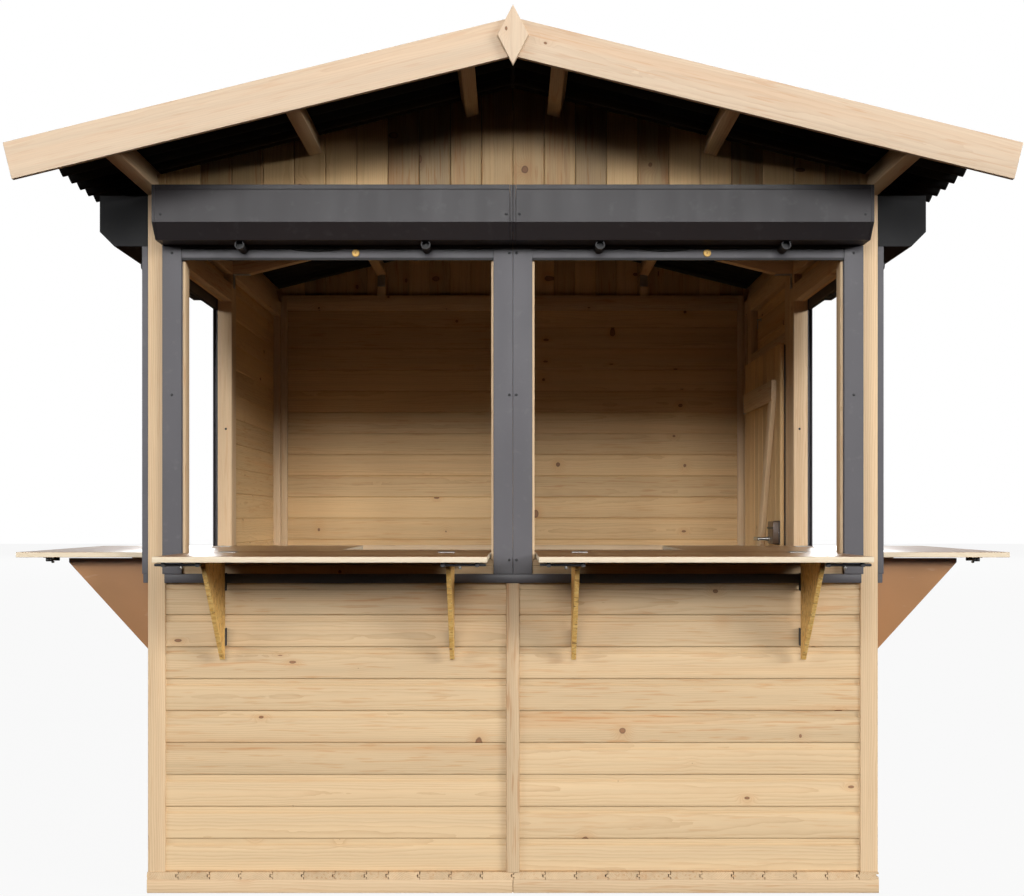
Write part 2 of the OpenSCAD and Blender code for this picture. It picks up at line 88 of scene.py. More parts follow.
def noise(tree, place, scale, detail=3.0):
    """Soft noise from 0 to 1 at a place; scale holds the three sizes of its cells per metre."""
    stretched = node(tree, "VectorMath", {0: place, 1: scale}, operation="MULTIPLY").outputs[0]
    return node(tree, "TexNoise", {"Vector": stretched, "Scale": 1.0, "Detail": detail}).outputs[0]


def blend(tree, share, first, second):
    """Mixes two colours by a share."""
    made = node(tree, "Mix", {0: share}, data_type="RGBA")
    for place, colour in ((6, first), (7, second)):
        if isinstance(colour, bpy.types.NodeSocket):
            tree.links.new(colour, made.inputs[place])
        else:
            made.inputs[place].default_value = (*colour, 1.0)
    return made.outputs[2]


def fresh(name):
    """A new material with an empty tree, and that tree."""
    made = bpy.data.materials.new(name)
    made.use_nodes = True
    made.node_tree.nodes.clear()
    return made, made.node_tree


def finish_coat(tree, colour, roughness, bump, **fixed):
    """Principled shader and output; fixed gives plain numbers for the shader's other sockets."""
    shader = node(tree, "BsdfPrincipled", {"Base Color": colour, "Roughness": roughness, "Normal": bump})
    for key, value in fixed.items():
        shader.inputs[key.replace("_", " ")].default_value = value
    node(tree, "OutputMaterial", {0: shader.outputs[0]})


def relief(tree, height, depth, strength=1.0):
    """Bump of a height from 0 to 1 over a depth in metres."""
    return node(tree, "Bump", {"Height": height, "Distance": depth, "Strength": strength}).outputs[0]


def spruce(name, pale, late_wood, heart, tint=0.16, knots=0.38):
    """Planed spruce. The grain attribute is a place in the tree: x along the trunk, y and z from the pith.
    Year rings are steps of the distance from the pith, bent by slow noise and round the knots, and
    a knot is a cone that runs out from the pith, found by its height and its angle."""
    wood, t = fresh(name)
    grain = node(t, "Attribute", attribute_name="grain").outputs["Vector"]
    tone = node(t, "Attribute", attribute_name="tone").outputs["Fac"]
    x, y, z = node(t, "SeparateXYZ", {0: grain}).outputs
    radius = calc(t, "SQRT", calc(t, "ADD", calc(t, "MULTIPLY", y, y), calc(t, "MULTIPLY", z, z)))
    turn = calc(t, "MULTIPLY", calc(t, "ARCTAN2", y, z), 0.30)
    spot = node(t, "CombineXYZ", {0: calc(t, "MULTIPLY", x, 2.9), 1: turn}).outputs[0]
    branch = node(t, "TexVoronoi", {"Vector": spot, "Scale": 1.0}, voronoi_dimensions="2D")
    chance = node(t, "SeparateColor", {0: branch.outputs["Color"]}).outputs[0]
    size = calc(t, "MULTIPLY", calc(t, "MAXIMUM", calc(t, "SUBTRACT", chance, 1.0 - knots), 0.0), 0.085)
    away = calc(t, "ADD", branch.outputs["Distance"],
                swing(t, noise(t, grain, (60, 60, 60), 2.0), 0.012))
    knot = calc(t, "MULTIPLY", calc(t, "SUBTRACT", size, away), 150.0, clamp=True)
    near = node(t, "MapRange", {0: away, 1: 0.16, 2: 0.0}, interpolation_type="SMOOTHSTEP").outputs[0]
    bulge = calc(t, "MULTIPLY", calc(t, "MULTIPLY", near, near), calc(t, "MULTIPLY", size, 0.75))
    sway = calc(t, "ADD", swing(t, noise(t, grain, (0.9, 7, 7), 2.0), 0.026),
                swing(t, noise(t, grain, (7, 30, 30), 3.0), 0.0075))
    depth = calc(t, "ADD", calc(t, "ADD", radius, sway), plus(t, bulge, x, 0.005))
    year = calc(t, "FRACT", calc(t, "DIVIDE", depth, 0.0058))
    late = calc(t, "POWER", year, 3.0)
    fibre = noise(t, grain, (9, 420, 420), 2.0)
    streak = noise(t, grain, (0.7, 26, 26), 3.0)
    patch = noise(t, grain, (1.7, 9, 9), 2.0)
    broad = node(t, "MapRange", {0: noise(t, grain, (0.35, 17, 17), 2.0), 1: 0.53, 2: 0.72},
                 interpolation_type="SMOOTHSTEP").outputs[0]
    thin = node(t, "MapRange", {0: noise(t, grain, (6.5, 110, 110), 2.0), 1: 0.56, 2: 0.68},
                interpolation_type="SMOOTHSTEP").outputs[0]
    red = calc(t, "ADD", calc(t, "MULTIPLY", broad, 0.7), calc(t, "MULTIPLY", thin, 1.1))
    ring_share = calc(t, "MULTIPLY", late, calc(t, "MULTIPLY", patch, 0.72), clamp=True)
    colour = blend(t, ring_share, pale, late_wood)
    redness = calc(t, "MULTIPLY", red, calc(t, "ADD", calc(t, "MULTIPLY", tone, 0.55), 0.10), clamp=True)
    colour = blend(t, redness, colour, heart)
    colour = blend(t, calc(t, "MULTIPLY", near, calc(t, "MULTIPLY", size, 14.0), clamp=True), colour, heart)
    value = calc(t, "ADD", calc(t, "MULTIPLY", calc(t, "SUBTRACT", 0.5, tone), tint),
                 swing(t, streak, 0.34))
    value = calc(t, "ADD", calc(t, "ADD", value, 1.0), swing(t, fibre, 0.14))
    colour = node(t, "HueSaturation", {"Color": colour, "Value": value}).outputs[0]
    core = calc(t, "MULTIPLY", calc(t, "SUBTRACT", calc(t, "MULTIPLY", size, 0.72), away), 120.0, clamp=True)
    colour = blend(t, calc(t, "MULTIPLY", knot, 0.88), colour, (0.17, 0.068, 0.026))
    colour = blend(t, calc(t, "MULTIPLY", core, 0.75), colour, (0.33, 0.150, 0.062))
    rough = plus(t, 0.52, streak, 0.16)
    height = calc(t, "ADD", calc(t, "MULTIPLY", fibre, 0.6),
                  calc(t, "MULTIPLY", calc(t, "MAXIMUM", late, knot), 0.4))
    finish_coat(t, colour, rough, relief(t, height, 0.0005, 0.45))
    return wood


spruce_frame = spruce("spruce_frame", (0.715, 0.517, 0.312), (0.44, 0.245, 0.110), (0.56, 0.290, 0.125))


def put(name, places, faces, finishes, grain=None, tone=None, sharp=35):
    """Makes a mesh from arrays of places and faces, and gives it its finishes and wood attributes."""
    mesh = bpy.data.meshes.new(name)
    mesh.from_pydata(places.tolist(), [], [face for block in faces for face in block.tolist()])
    for finish in finishes:
        mesh.materials.append(finish)
    if grain is not None:
        mesh.attributes.new("grain", "FLOAT_VECTOR", "POINT").data.foreach_set("vector", grain.ravel())
        mesh.attributes.new("tone", "FLOAT", "POINT").data.foreach_set("value", tone)
    mesh.polygons.foreach_set("use_smooth", np.ones(len(mesh.polygons), bool))
    mesh.set_sharp_from_angle(angle=math.radians(sharp))
    piece = bpy.data.objects.new(name, mesh)
    bpy.context.scene.collection.objects.link(piece)
    return piece


def carried(name, outline, start, along, across, at, finishes, grow=1.0, cut=None, wooden=False):
    """Closed outlines carried along straight lines, one for each row. A place is start
    + along * (station + cut . outline) + across * grown first + (along x across) * grown second.
    outline (rows, points, 2), at (rows, stations), grow (rows, stations, 2), cut (rows, stations, 2),
    and what every row shares is given once."""
    start, outline, at = (np.asarray(v, float) for v in (start, outline, at))
    rows, points, stations = len(start), outline.shape[-2], at.shape[-1]
    along, across = (np.broadcast_to(np.asarray(v, float), start.shape) for v in (along, across))
    outline, at = np.broadcast_to(outline, (rows, points, 2)), np.broadcast_to(at, (rows, stations))
    grow = np.broadcast_to(grow, (rows, stations, 2))
    following = np.roll(outline, -1, 1)
    turned_in = (outline[..., 0] * following[..., 1] - following[..., 0] * outline[..., 1]).sum(1) < 0
    outline = np.where(turned_in[:, None, None], outline[:, ::-1], outline)
    third = np.cross(along, across)
    grown = outline[:, None] * grow[:, :, None]
    run = np.repeat(at[:, :, None], points, 2)
    if cut is not None:
        run = run + (cut[:, :, None] * grown).sum(3)
    place = (start[:, None, None] + along[:, None, None] * run[..., None]
             + across[:, None, None] * grown[..., :1] + third[:, None, None] * grown[..., 1:])
    number = np.arange(rows * stations * points).reshape(rows, stations, points)
    following = np.roll(number, -1, 2)
    sides = np.stack([number[:, :-1], following[:, :-1], following[:, 1:], number[:, 1:]], 3).reshape(-1, 4)
    caps = np.concatenate([number[:, 0, ::-1], number[:, -1]])
    grain = tone = None
    if wooden:
        width = np.ptp(outline, 1)
        flat = (width[:, 1] > width[:, 0])[:, None, None]
        wide = np.where(flat, grown[..., 1], grown[..., 0])
        thin = np.where(flat, grown[..., 0], grown[..., 1])
        pith = np.stack([log_yard.uniform(0, 40, rows), log_yard.uniform(-0.07, 0.07, rows),
                         log_yard.choice([-1, 1], rows) * log_yard.uniform(0.022, 0.11, rows)], 1)
        grain = (np.stack([run, wide, thin], 3) + pith[:, None, None]).reshape(-1, 3)
        tone = np.repeat(log_yard.uniform(0, 1, rows) ** 1.3, stations * points)
    return put(name, place.reshape(-1, 3), [sides, caps], finishes, grain, tone)


def squared(size, arris, soft=0.29):
    """Outline of a rectangle of each size (rows, 2) with its corners taken off by arris: three points
    to a corner, the middle one at soft * arris from both faces, which is 0.5 for a flat chamfer."""
    corner = np.array([[1, 1], [-1, 1], [-1, -1], [1, -1]], float)
    step = np.array([[[0, 1], [soft, soft], [1, 0]], [[1, 0], [soft, soft], [0, 1]]] * 2)
    half = np.asarray(size, float)[:, None, None] / 2
    return (corner[:, None] * (half - arris * step)).reshape(len(half), 12, 2)


def timbers(name, start, along, across, size, arris=0.002, end=0.001, soft=0.29, cut=None,
            finishes=(spruce_frame,), wooden=True):
    """Squared lengths of wood or plate, each from the middle of its start face; size is rows of length,
    width and thickness, and the last end millimetre or so of the length draws in to a small arris."""
    size = np.broadcast_to(np.asarray(size, float), (len(start), 3))
    length = size[:, :1]
    at = np.hstack([0 * length, 0 * length + end, length - end, length])
    grow = np.ones((len(size), 4, 2))
    grow[:, [0, 3]] -= 2 * end / size[:, None, 1:]
    if cut is not None:
        cut = np.stack([cut[0], cut[0], cut[1], cut[1]], 1)
    outline = squared(size[:, 1:], arris, soft)
    return carried(name, outline, start, along, across, at, finishes, grow, cut, wooden)


def fitted(piece, part=None, body="stall"):
    """Fixes a piece to a body, and hides the CAD node it stands for, if any."""
    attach(piece, body)
    if part:
        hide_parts(part)


def blocks(cad_node):
    """Lowest and highest corners of the separate blocks of a CAD node. Corners at one place are one point,
    and each point takes the lowest label found in its triangles until no label changes."""
    mesh = frame["nodes"][cad_node].data
    co = np.empty(len(mesh.vertices) * 3, np.float32)
    mesh.vertices.foreach_get("co", co)
    corner = np.empty(len(mesh.loops), np.int32)
    mesh.loops.foreach_get("vertex_index", corner)
    co = co.reshape(-1, 3)
    point = np.unique(np.round(co * 20000).astype(int), axis=0, return_inverse=True)[1].ravel()
    triangle = point[corner].reshape(-1, 3)
    label = np.arange(point.max() + 1)
    while True:
        lowest = label.copy()
        np.minimum.at(lowest, triangle, np.repeat(label[triangle].min(1)[:, None], 3, 1))
        if (lowest == label).all():
            break
        label = lowest
    label = label[point]
    found = np.unique(label)
    return (np.array([co[label == one].min(0) for one in found], float),
            np.array([co[label == one].max(0) for one in found], float))


def lie(low, high, axis=None):
    """Start, direction, across and size of blocks between corners, along their longest side or one axis."""
    side = high - low
    main = side.argmax(1) if axis is None else np.full(len(low), axis)
    row = np.arange(len(low))
    start = (low + high) / 2
    start[row, main] = low[row, main]
    size = np.stack([side[row, main], side[row, (main + 1) % 3], side[row, (main + 2) % 3]], 1)
    return start, np.eye(3)[main], np.eye(3)[(main + 1) % 3], size


for part in ("base_end_beams", "base_side_beams", "floor_joists"):
    beam = timbers(part.replace("base", "ground").replace("floor", "ground"), *lie(*blocks(part)), arris=0.003)
    fitted(beam, part)

# --------------------------------------------------------------- floor
# Tongued and grooved boards laid from front to back on the joists, their
# sawn ends in view at the front edge. One narrow board closes the run.

floor_low, floor_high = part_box("floor_boards")
floor_pitch, narrow = 0.1074, 0.0750
joint = np.concatenate([floor_low.x + floor_pitch * np.arange(8),
                        floor_low.x + floor_pitch * 7 + narrow + floor_pitch * np.arange(16), [floor_high.x]])
floor_t = floor_high.z - floor_low.z
tongue, slit = 0.0085, 0.0012


def tongued(width, thickness, chamfer):
    """Outline of boards with a groove on the left and a tongue on the right, the thickness running up,
    and a small chamfer along both upper edges."""
    left, right, half = -width / 2 + slit, width / 2 - slit, thickness / 2 + 0 * width
    tip, lip, third = right + tongue - slit, half * 0.42, half * 0.30
    return np.stack([
        np.stack([left + chamfer, left, left, left + tongue, left + tongue, left, left,
                  right, right, tip, tip, right, right, right - chamfer], 1),
        np.stack([half, half - chamfer, lip, lip, -lip, -lip, -half,
                  -half, -third, -third, third, third, half - chamfer, half], 1)], 2)


width = np.diff(joint)
count = len(width)
middle = (joint[:-1] + joint[1:]) / 2
start = np.stack([middle, np.full(count, floor_low.y), np.full(count, (floor_low.z + floor_high.z) / 2)], 1)
outline = tongued(width, floor_t, 0.0012)
outline[0, :, 0] = outline[0, :, 0].clip(-width[0] / 2, width[0] / 2)
depth = floor_high.y - floor_low.y
floor = carried("floor_planks", outline, start, (0, 1, 0), (-1, 0, 0), (0, depth), (spruce_frame,),
                wooden=True)
fitted(floor, "floor_boards")

# --------------------------------------------------------- wall frames
# Posts and rails of planed spruce, 60 mm deep, screwed together edge to
# edge. The rails stand behind the boards, the posts show on both faces.

rail_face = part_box("front_rails")[0].y
sill_z = np.sort(blocks("front_wall_boards")[1][:, 2])[0]
for part in ("front_posts", "front_rails", "left_wall_posts", "left_wall_rails", "right_wall_posts",
             "right_wall_rails", "back_wall_posts", "back_wall_rails", "gable_studs"):
    low, high = blocks(part)
    if part == "front_posts":
        low, high = np.tile(low, (2, 1)), np.tile(high, (2, 1))
        low[:len(low) // 2, 2] = high[len(low) // 2:, 2] = sill_z
        low[len(low) // 2:, 1] = rail_face
    frame_wood = timbers(part + "_planed", *lie(low, high), arris=0.0025)
    fitted(frame_wood, part)

# --------------------------------------------------------- wall boards
# Level boards, 19 mm thick, a course every 110 mm. Outside, a lip on each
# laps over the hollow of the one below; inside, chamfers make a V joint.

spruce_boards = spruce("spruce_boards", (0.690, 0.498, 0.286), (0.47, 0.270, 0.120), (0.60, 0.330, 0.145),
                       tint=0.13, knots=0.50)
# The second spruce is the same board wood made deeper and more saturated: painted shade for the boards inside
# the walls, on the gables and on the door.
shade_tinted_boards = spruce("shade_tinted_boards", (0.710, 0.472, 0.228), (0.46, 0.240, 0.090), (0.60, 0.310, 0.120),
                      tint=0.22, knots=0.55)
lowest_joint, course_h = 0.0735, 0.1096
course = lowest_joint + course_h * np.arange(1, 30)
v_joint, hollow, lip, wane = 0.0042, 0.0060, 0.0048, 0.0006
face_end, wane_end, hollow_start = 0.0238, 0.0222, 0.0186


def ripped(low, high, axis, cuts, least=0.032):
    """Cuts blocks into boards at places along one axis, and leaves no board narrower than least."""
    lows, highs = [], []
    for a, b in zip(low, high):
        inner = cuts[(cuts > a[axis] + least) & (cuts < b[axis] - least)]
        edge = np.concatenate([[a[axis]], inner, [b[axis]]])
        first, last = np.tile(a, (len(edge) - 1, 1)), np.tile(b, (len(edge) - 1, 1))
        first[:, axis], last[:, axis] = edge[:-1], edge[1:]
        lows.append(first)
        highs.append(last)
    return np.concatenate(lows), np.concatenate(highs)


def lapped(name, low, high, axis, outward, wood):
    """Boards along one level axis. Outside, the top of each board is hollowed back under the lip of the board
    above; inside, both edges are chamfered. outward is +1 or -1 along the thin axis."""
    start, along, across, size = lie(low, high, axis)
    third = np.cross(along, across)
    tall_is_second = np.abs(third[:, 2]) > 0.5
    tall = np.where(tall_is_second, size[:, 2], size[:, 1])[:, None] / 2
    thick = np.where(tall_is_second, size[:, 1], size[:, 2])[:, None] / 2
    out = [thick, thick, thick - wane, thick - hollow, thick - hollow, v_joint - thick,
           -thick, -thick, v_joint - thick, thick - lip]
    up = [lip - tall, tall - face_end, tall - wane_end, tall - hollow_start, tall, tall,
          tall - v_joint, v_joint - tall, -tall, -tall]
    out, up = np.concatenate(out, 1) * outward, np.concatenate(up, 1)
    up_way = np.sign(np.where(tall_is_second, third[:, 2], across[:, 2]))[:, None]
    thin_axis = np.where(tall_is_second[:, None], across, third)
    out_way = np.sign(thin_axis.sum(1))[:, None]
    first = np.where(tall_is_second[:, None], out * out_way, up * up_way)
    second = np.where(tall_is_second[:, None], up * up_way, out * out_way)
    at = np.stack([0 * size[:, 0], size[:, 0]], 1)
    return carried(name, np.stack([first, second], 2), start, along, across, at, (wood,), wooden=True)


for part, axis, outward in (("front_wall_boards", 0, -1), ("left_wall_boards", 1, -1),
                            ("right_wall_boards", 1, 1), ("back_wall_boards", 0, 1)):
    low, high = ripped(*blocks(part), 2, course)
    # Every wall but the front takes the boards' painted-shade copy.
    wood = spruce_boards if part == "front_wall_boards" else shade_tinted_boards
    boards = lapped(part + "_lapped", low, high, axis, outward, wood)
    fitted(boards, part)

# -------------------------------------------------------------- gables
# Upright boards of the same kind close the gables to just below the roof
# sheets, cut to the pitch at the top. One joint is on the middle.

pitch = math.radians(13.8)
slope, cosine, sine = math.tan(pitch), math.cos(pitch), math.sin(pitch)
eave_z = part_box("left_wall_posts")[1].z
plate_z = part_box("front_posts")[1].z
half_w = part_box("right_wall_posts")[1].x
post_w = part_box("front_posts")[1].x
purlin_c = eave_z + half_w * slope
purlin_w, purlin_h = 0.045, 0.088
sheet_c = purlin_c + purlin_h / cosine
gable_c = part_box("front_gable")[1].z
board_pitch, board_gap = 0.1072, 0.0016

edge = np.concatenate([board_pitch * np.arange(11), [post_w, half_w]])
width, middle = np.tile(np.diff(edge), 2), np.tile((edge[:-1] + edge[1:]) / 2, 2)
foot = np.where(middle < post_w, plate_z, eave_z)
side = np.repeat([1, -1], len(edge) - 1)
cut = np.zeros((2, len(side), 2))
cut[1, :, 0] = -slope * side
tone_spread, tone_fall = 2.6, 0.3
for part in ("front_gable", "back_gable"):
    low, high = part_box(part)
    start = np.stack([middle * side, 0 * middle + (low.y + high.y) / 2, foot], 1)
    apart = board_gap if part == "front_gable" else 0.0
    size = np.stack([gable_c - middle * slope - foot, width - apart, 0 * middle + (high.y - low.y)], 1)
    gable = timbers(part + "_v_jointed", start, (0, 0, 1), (1, 0, 0), size, arris=0.0026, soft=0.5, end=0.0004,
                    cut=cut, finishes=(shade_tinted_boards,))
    tone = np.empty(len(gable.data.vertices), np.float32)
    gable.data.attributes["tone"].data.foreach_get("value", tone)
    gable.data.attributes["tone"].data.foreach_set("value", tone_spread * tone - tone_fall)
    fitted(gable, part)

# ------------------------------------------------- purlins and rafters
# Six planed purlins run through both gables and carry the sheets; a pair
# of rafters stands on the middle posts, cut level at the foot.

purlin_low, purlin_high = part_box("ridge_purlins")
both = np.array([1.0, -1.0])
down = np.stack([both * cosine, 0 * both, 0 * both - sine], 1)
up = np.stack([both * sine, 0 * both, 0 * both + cosine], 1)
ridge_x, middle_x = 0.160, 0.697
for part, corner_x in (("ridge_purlins", ridge_x), ("middle_purlins", middle_x), ("eave_purlins", half_w)):
    corner = np.stack([both * corner_x, 0 * both + purlin_low.y, 0 * both + purlin_c - corner_x * slope], 1)
    purlin = timbers(part + "_planed", corner - down * purlin_w / 2 + up * purlin_h / 2, (0, 1, 0), down,
                     (purlin_high.y - purlin_low.y, purlin_w, purlin_h), arris=0.003)
    fitted(purlin, part)

rafter_low, rafter_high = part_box("rafters")
rafter_h, crown_gap = 0.097, 0.001
rafter_w = rafter_high.y - rafter_low.y
rafter_y = (rafter_low.y + rafter_high.y) / 2
start_z = purlin_c - crown_gap * slope - rafter_h / 2 / cosine
start = np.stack([both * crown_gap, 0 * both + rafter_y, 0 * both + start_z], 1)
level_way = np.stack([0 * both, both, 0 * both], 1)
length = (rafter_high.x - crown_gap) / cosine
level = (purlin_c - rafter_h / cosine - rafter_low.z) / slope / cosine
cut = np.zeros((2, 3, 2))
cut[:, [0, 2], 1] = -slope
rafters = carried("rafters_planed", squared([[rafter_w, rafter_h]], 0.003), start, down, level_way,
                  (0, level, length), (spruce_frame,), cut=cut, wooden=True)
co = np.empty(len(rafters.data.vertices) * 3, np.float32)
rafters.data.vertices.foreach_get("co", co)
co = co.reshape(-1, 3)
co[:, 2] = np.maximum(co[:, 2], rafter_low.z)
rafters.data.vertices.foreach_set("co", co.ravel())
fitted(rafters, "rafters")

# ---------------------------------------------------------- roof sheets
# Corrugated bitumen sheets, black all through, nailed to the purlins with
# their waves running down the slope. A folded cap covers the ridge.

bitumen, t = fresh("roof_sheet")
place = node(t, "TexCoord").outputs["Object"]
fleck = noise(t, place, (240, 240, 240), 3.0)
cloud = noise(t, place, (5, 5, 5), 4.0)
# The sheets are black, and this black is set darker still: painted shade for the underside of the roof.
colour = blend(t, cloud, (0.005, 0.005, 0.005), (0.014, 0.0135, 0.013))
colour = blend(t, calc(t, "POWER", fleck, 6.0, clamp=True), colour, (0.07, 0.067, 0.064))
finish_coat(t, colour, plus(t, 0.72, cloud, 0.2), relief(t, fleck, 0.0012, 0.5))


def shell(name, under, over):
    """Two grids of places (rows, columns, 3), one over the other, closed into a solid by a strip round the rim.
    Row direction x column direction points from under to over."""
    rows, columns = over.shape[:2]
    top = np.arange(rows * columns).reshape(rows, columns)

    def cells(n):
        return np.stack([n[:-1, :-1], n[1:, :-1], n[1:, 1:], n[:-1, 1:]], 2).reshape(-1, 4)

    rim = np.concatenate([top[0], top[1:, -1], top[-1, -2::-1], top[-2:0:-1, 0]])
    strip = np.stack([rim, np.roll(rim, -1), np.roll(rim, -1) + rows * columns, rim + rows * columns], 1)
    places = np.concatenate([over.reshape(-1, 3), under.reshape(-1, 3)])
    return put(name, places, [cells(top), cells(top + rows * columns)[:, ::-1], strip], (bitumen,), sharp=60)


sheet_low, sheet_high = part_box("right_roof_sheet")
sheet_t, wave_h, wave_l, sheet_gap, eave_out, steps = 0.003, 0.036, 0.095, 0.003, 0.247, 16
waves = round((sheet_high.y - sheet_low.y) / wave_l)
for side, part in ((1, "right_roof_sheet"), (-1, "left_roof_sheet")):
    across = np.linspace(0, 1, waves * steps + 1)[::side]
    run = np.linspace(sheet_gap / cosine, (half_w + eave_out) / cosine, 5)
    lift = (wave_h - sheet_t) / 2 * (1 - np.cos(2 * np.pi * waves * across))
    run, lift = np.meshgrid(run, lift, indexing="ij")
    y = sheet_low.y + (sheet_high.y - sheet_low.y) * np.meshgrid(np.arange(5), across, indexing="ij")[1]

    def on_slope(height):
        return np.stack([side * (run * cosine + height * sine), y, sheet_c - run * sine + height * cosine], 2)

    sheet = shell(part + "_waves", on_slope(lift), on_slope(lift + sheet_t))
    fitted(sheet, part)

cap_low, cap_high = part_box("ridge_cap")
fold, lap = 0.018, 0.0006
x, y = np.meshgrid(np.linspace(cap_low.x, cap_high.x, 41), np.linspace(cap_low.y, cap_high.y, 3),
                   indexing="ij")
crest = cap_high.z - lap - slope * np.sqrt(x * x + fold * fold)
cap = shell("ridge_cap_fold", np.stack([x, y, crest - sheet_t / cosine], 2), np.stack([x, y, crest], 2))
fitted(cap, "ridge_cap")

# ------------------------------------------------------- roof edge trim
# Planed bargeboards screwed to the purlin ends, mitred plumb at the top
# and square at the foot, with a diamond over each joint.

planed_trim = spruce("planed_trim", (0.76, 0.585, 0.415), (0.60, 0.405, 0.255), (0.68, 0.445, 0.275),
                     tint=0.08, knots=0.30)
barge_w = 0.115
cut = np.zeros((2, 2, 2))
cut[0, :, 1] = -slope
for part in ("front_bargeboards", "back_bargeboards"):
    low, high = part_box(part)
    start = np.stack([both * crown_gap, 0 * both + (low.y + high.y) / 2,
                      0 * both + high.z - barge_w / 2 / cosine], 1)
    length = (high.x - barge_w / 2 * sine - crown_gap) / cosine
    barge = timbers(part + "_planed", start, down, level_way, (length, high.y - low.y, barge_w),
                    arris=0.0025, cut=cut, finishes=(planed_trim,))
    fitted(barge, part)

low, high = blocks("gable_diamonds")
size = high - low
tip, point = 0.03, 0.004
stations = size[:, 2:] * [0, tip / 2, 0.5, 1 - tip / 2, 1]
start = (low + high) / 2 * [1, 1, 0] + low * [0, 0, 1]
diamond = carried("gable_diamonds_planed", squared(size[:, :2], 0.002), start,
                  (0, 0, 1), (1, 0, 0), stations, (planed_trim,),
                  [[point, 0.9], [tip, 1], [1, 1], [tip, 1], [point, 0.9]], wooden=True)
fitted(diamond, "gable_diamonds")

# ------------------------------------------------------- shutter boxes
# Folded aluminium boxes with a powder coat in anthracite, a hemmed lid
# along the top, a chamfered lower edge and a cast plate at each end.


def powder_coat(name, colour, dust, roughness):
    """Baked powder on aluminium: a fine orange peel, faint wiped patches and a few pale rubs."""
    coat, t = fresh(name)
    place = node(t, "TexCoord").outputs["Object"]
    peel = noise(t, place, (700, 700, 700), 2.0)
    cloud = noise(t, place, (3.2, 3.2, 3.2), 5.0)
    wiped = noise(t, place, (14, 14, 3), 4.0)
    rub = node(t, "MapRange", {0: noise(t, place, (30, 30, 30), 6.0), 1: 0.60, 2: 0.74}).outputs[0]
    shade = blend(t, cloud, tuple(0.82 * c for c in colour), tuple(1.16 * c for c in colour))
    shade = blend(t, calc(t, "MULTIPLY", rub, 0.28, clamp=True), shade, dust)
    rough = plus(t, roughness - 0.06, wiped, 0.16)
    finish_coat(t, shade, rough, relief(t, plus(t, peel, cloud, 0.4), 0.0004, 0.35))
    return coat


anthracite = powder_coat("anthracite_metal", (0.083, 0.078, 0.087), (0.15, 0.145, 0.15), 0.47)
# The boxes take the rails' anthracite coat made darker: painted shade from the roof overhang.
shade_darkened_box_coat = powder_coat("shade_darkened_box_coat", (0.031, 0.0270, 0.0295), (0.08, 0.076, 0.078), 0.47)
end_plate = powder_coat("end_plate", (0.030, 0.029, 0.032), (0.08, 0.08, 0.08), 0.50)
dark_plate = powder_coat("dark_plate", (0.008, 0.008, 0.009), (0.02, 0.02, 0.02), 0.72)


def soften(piece, width=0.0014, segments=2):
    """Rounds the hard edges of a piece."""
    edge = piece.modifiers.new("soft_edges", "BEVEL")
    edge.width, edge.segments, edge.limit_method, edge.angle_limit = width, segments, "ANGLE", math.radians(28)
    edge.harden_normals = True


def out_and_up(shape, along, out):
    """Rows of one outline drawn outward and upward, turned to suit each direction it is carried in."""
    third = np.cross(along, out)[:, 2]
    return np.stack([np.broadcast_to(shape[:, 0], (len(third), len(shape))), third[:, None] * shape[:, 1]], 2)


def lengths(name, shape, start, along, out, length, finishes):
    """Plain lengths of one outline, drawn outward and upward from each start."""
    along, out = np.asarray(along, float), np.asarray(out, float)
    length = np.broadcast_to(np.asarray(length, float), (len(along),))
    at = np.stack([0 * length, length], 1)
    return carried(name, out_and_up(shape, along, out), start, along, out, at, finishes)


def turned(name, centres, along, profile, finishes, sides=20):
    """Turned pieces: a circle of `sides` corners grown to each radius of the profile (radius, height)
    at its height along the axis, and closed with a flat at both ends."""
    centres, profile = np.asarray(centres, float), np.asarray(profile, float)
    along = np.broadcast_to(np.asarray(along, float), centres.shape)
    helper = np.where(np.abs(along[:, 2:]) > 0.9, [[1.0, 0, 0]], [[0, 0, 1.0]])
    across = np.cross(helper, along)
    across /= np.linalg.norm(across, axis=1, keepdims=True)
    angle = np.linspace(0, 2 * np.pi, sides, endpoint=False)
    circle = np.stack([np.cos(angle), np.sin(angle)], 1)
    return carried(name, circle, centres, along, across, profile[:, 1], finishes, grow=profile[:, :1])


front_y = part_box("front_posts")[0].y
box_z, box_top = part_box("front_shutter_boxes")[0].z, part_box("front_shutter_boxes")[1].z
box_d, chamfer = front_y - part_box("front_shutter_boxes")[0].y, 0.050
box_h = box_top - box_z
hem, groove, plate_t, seam = 0.0165, 0.0014, 0.0090, 0.0007
box_shape = np.array([[0, 0], [box_d - chamfer, 0], [box_d, chamfer], [box_d, box_h - hem],
                      [box_d - groove, box_h - hem], [box_d - groove, box_h - hem + groove],
                      [box_d, box_h - hem + groove], [box_d, box_h], [0, box_h]])
plate_shape = np.array([[0, 0], [box_d - chamfer, 0], [box_d, chamfer], [box_d, box_h], [0, box_h]])

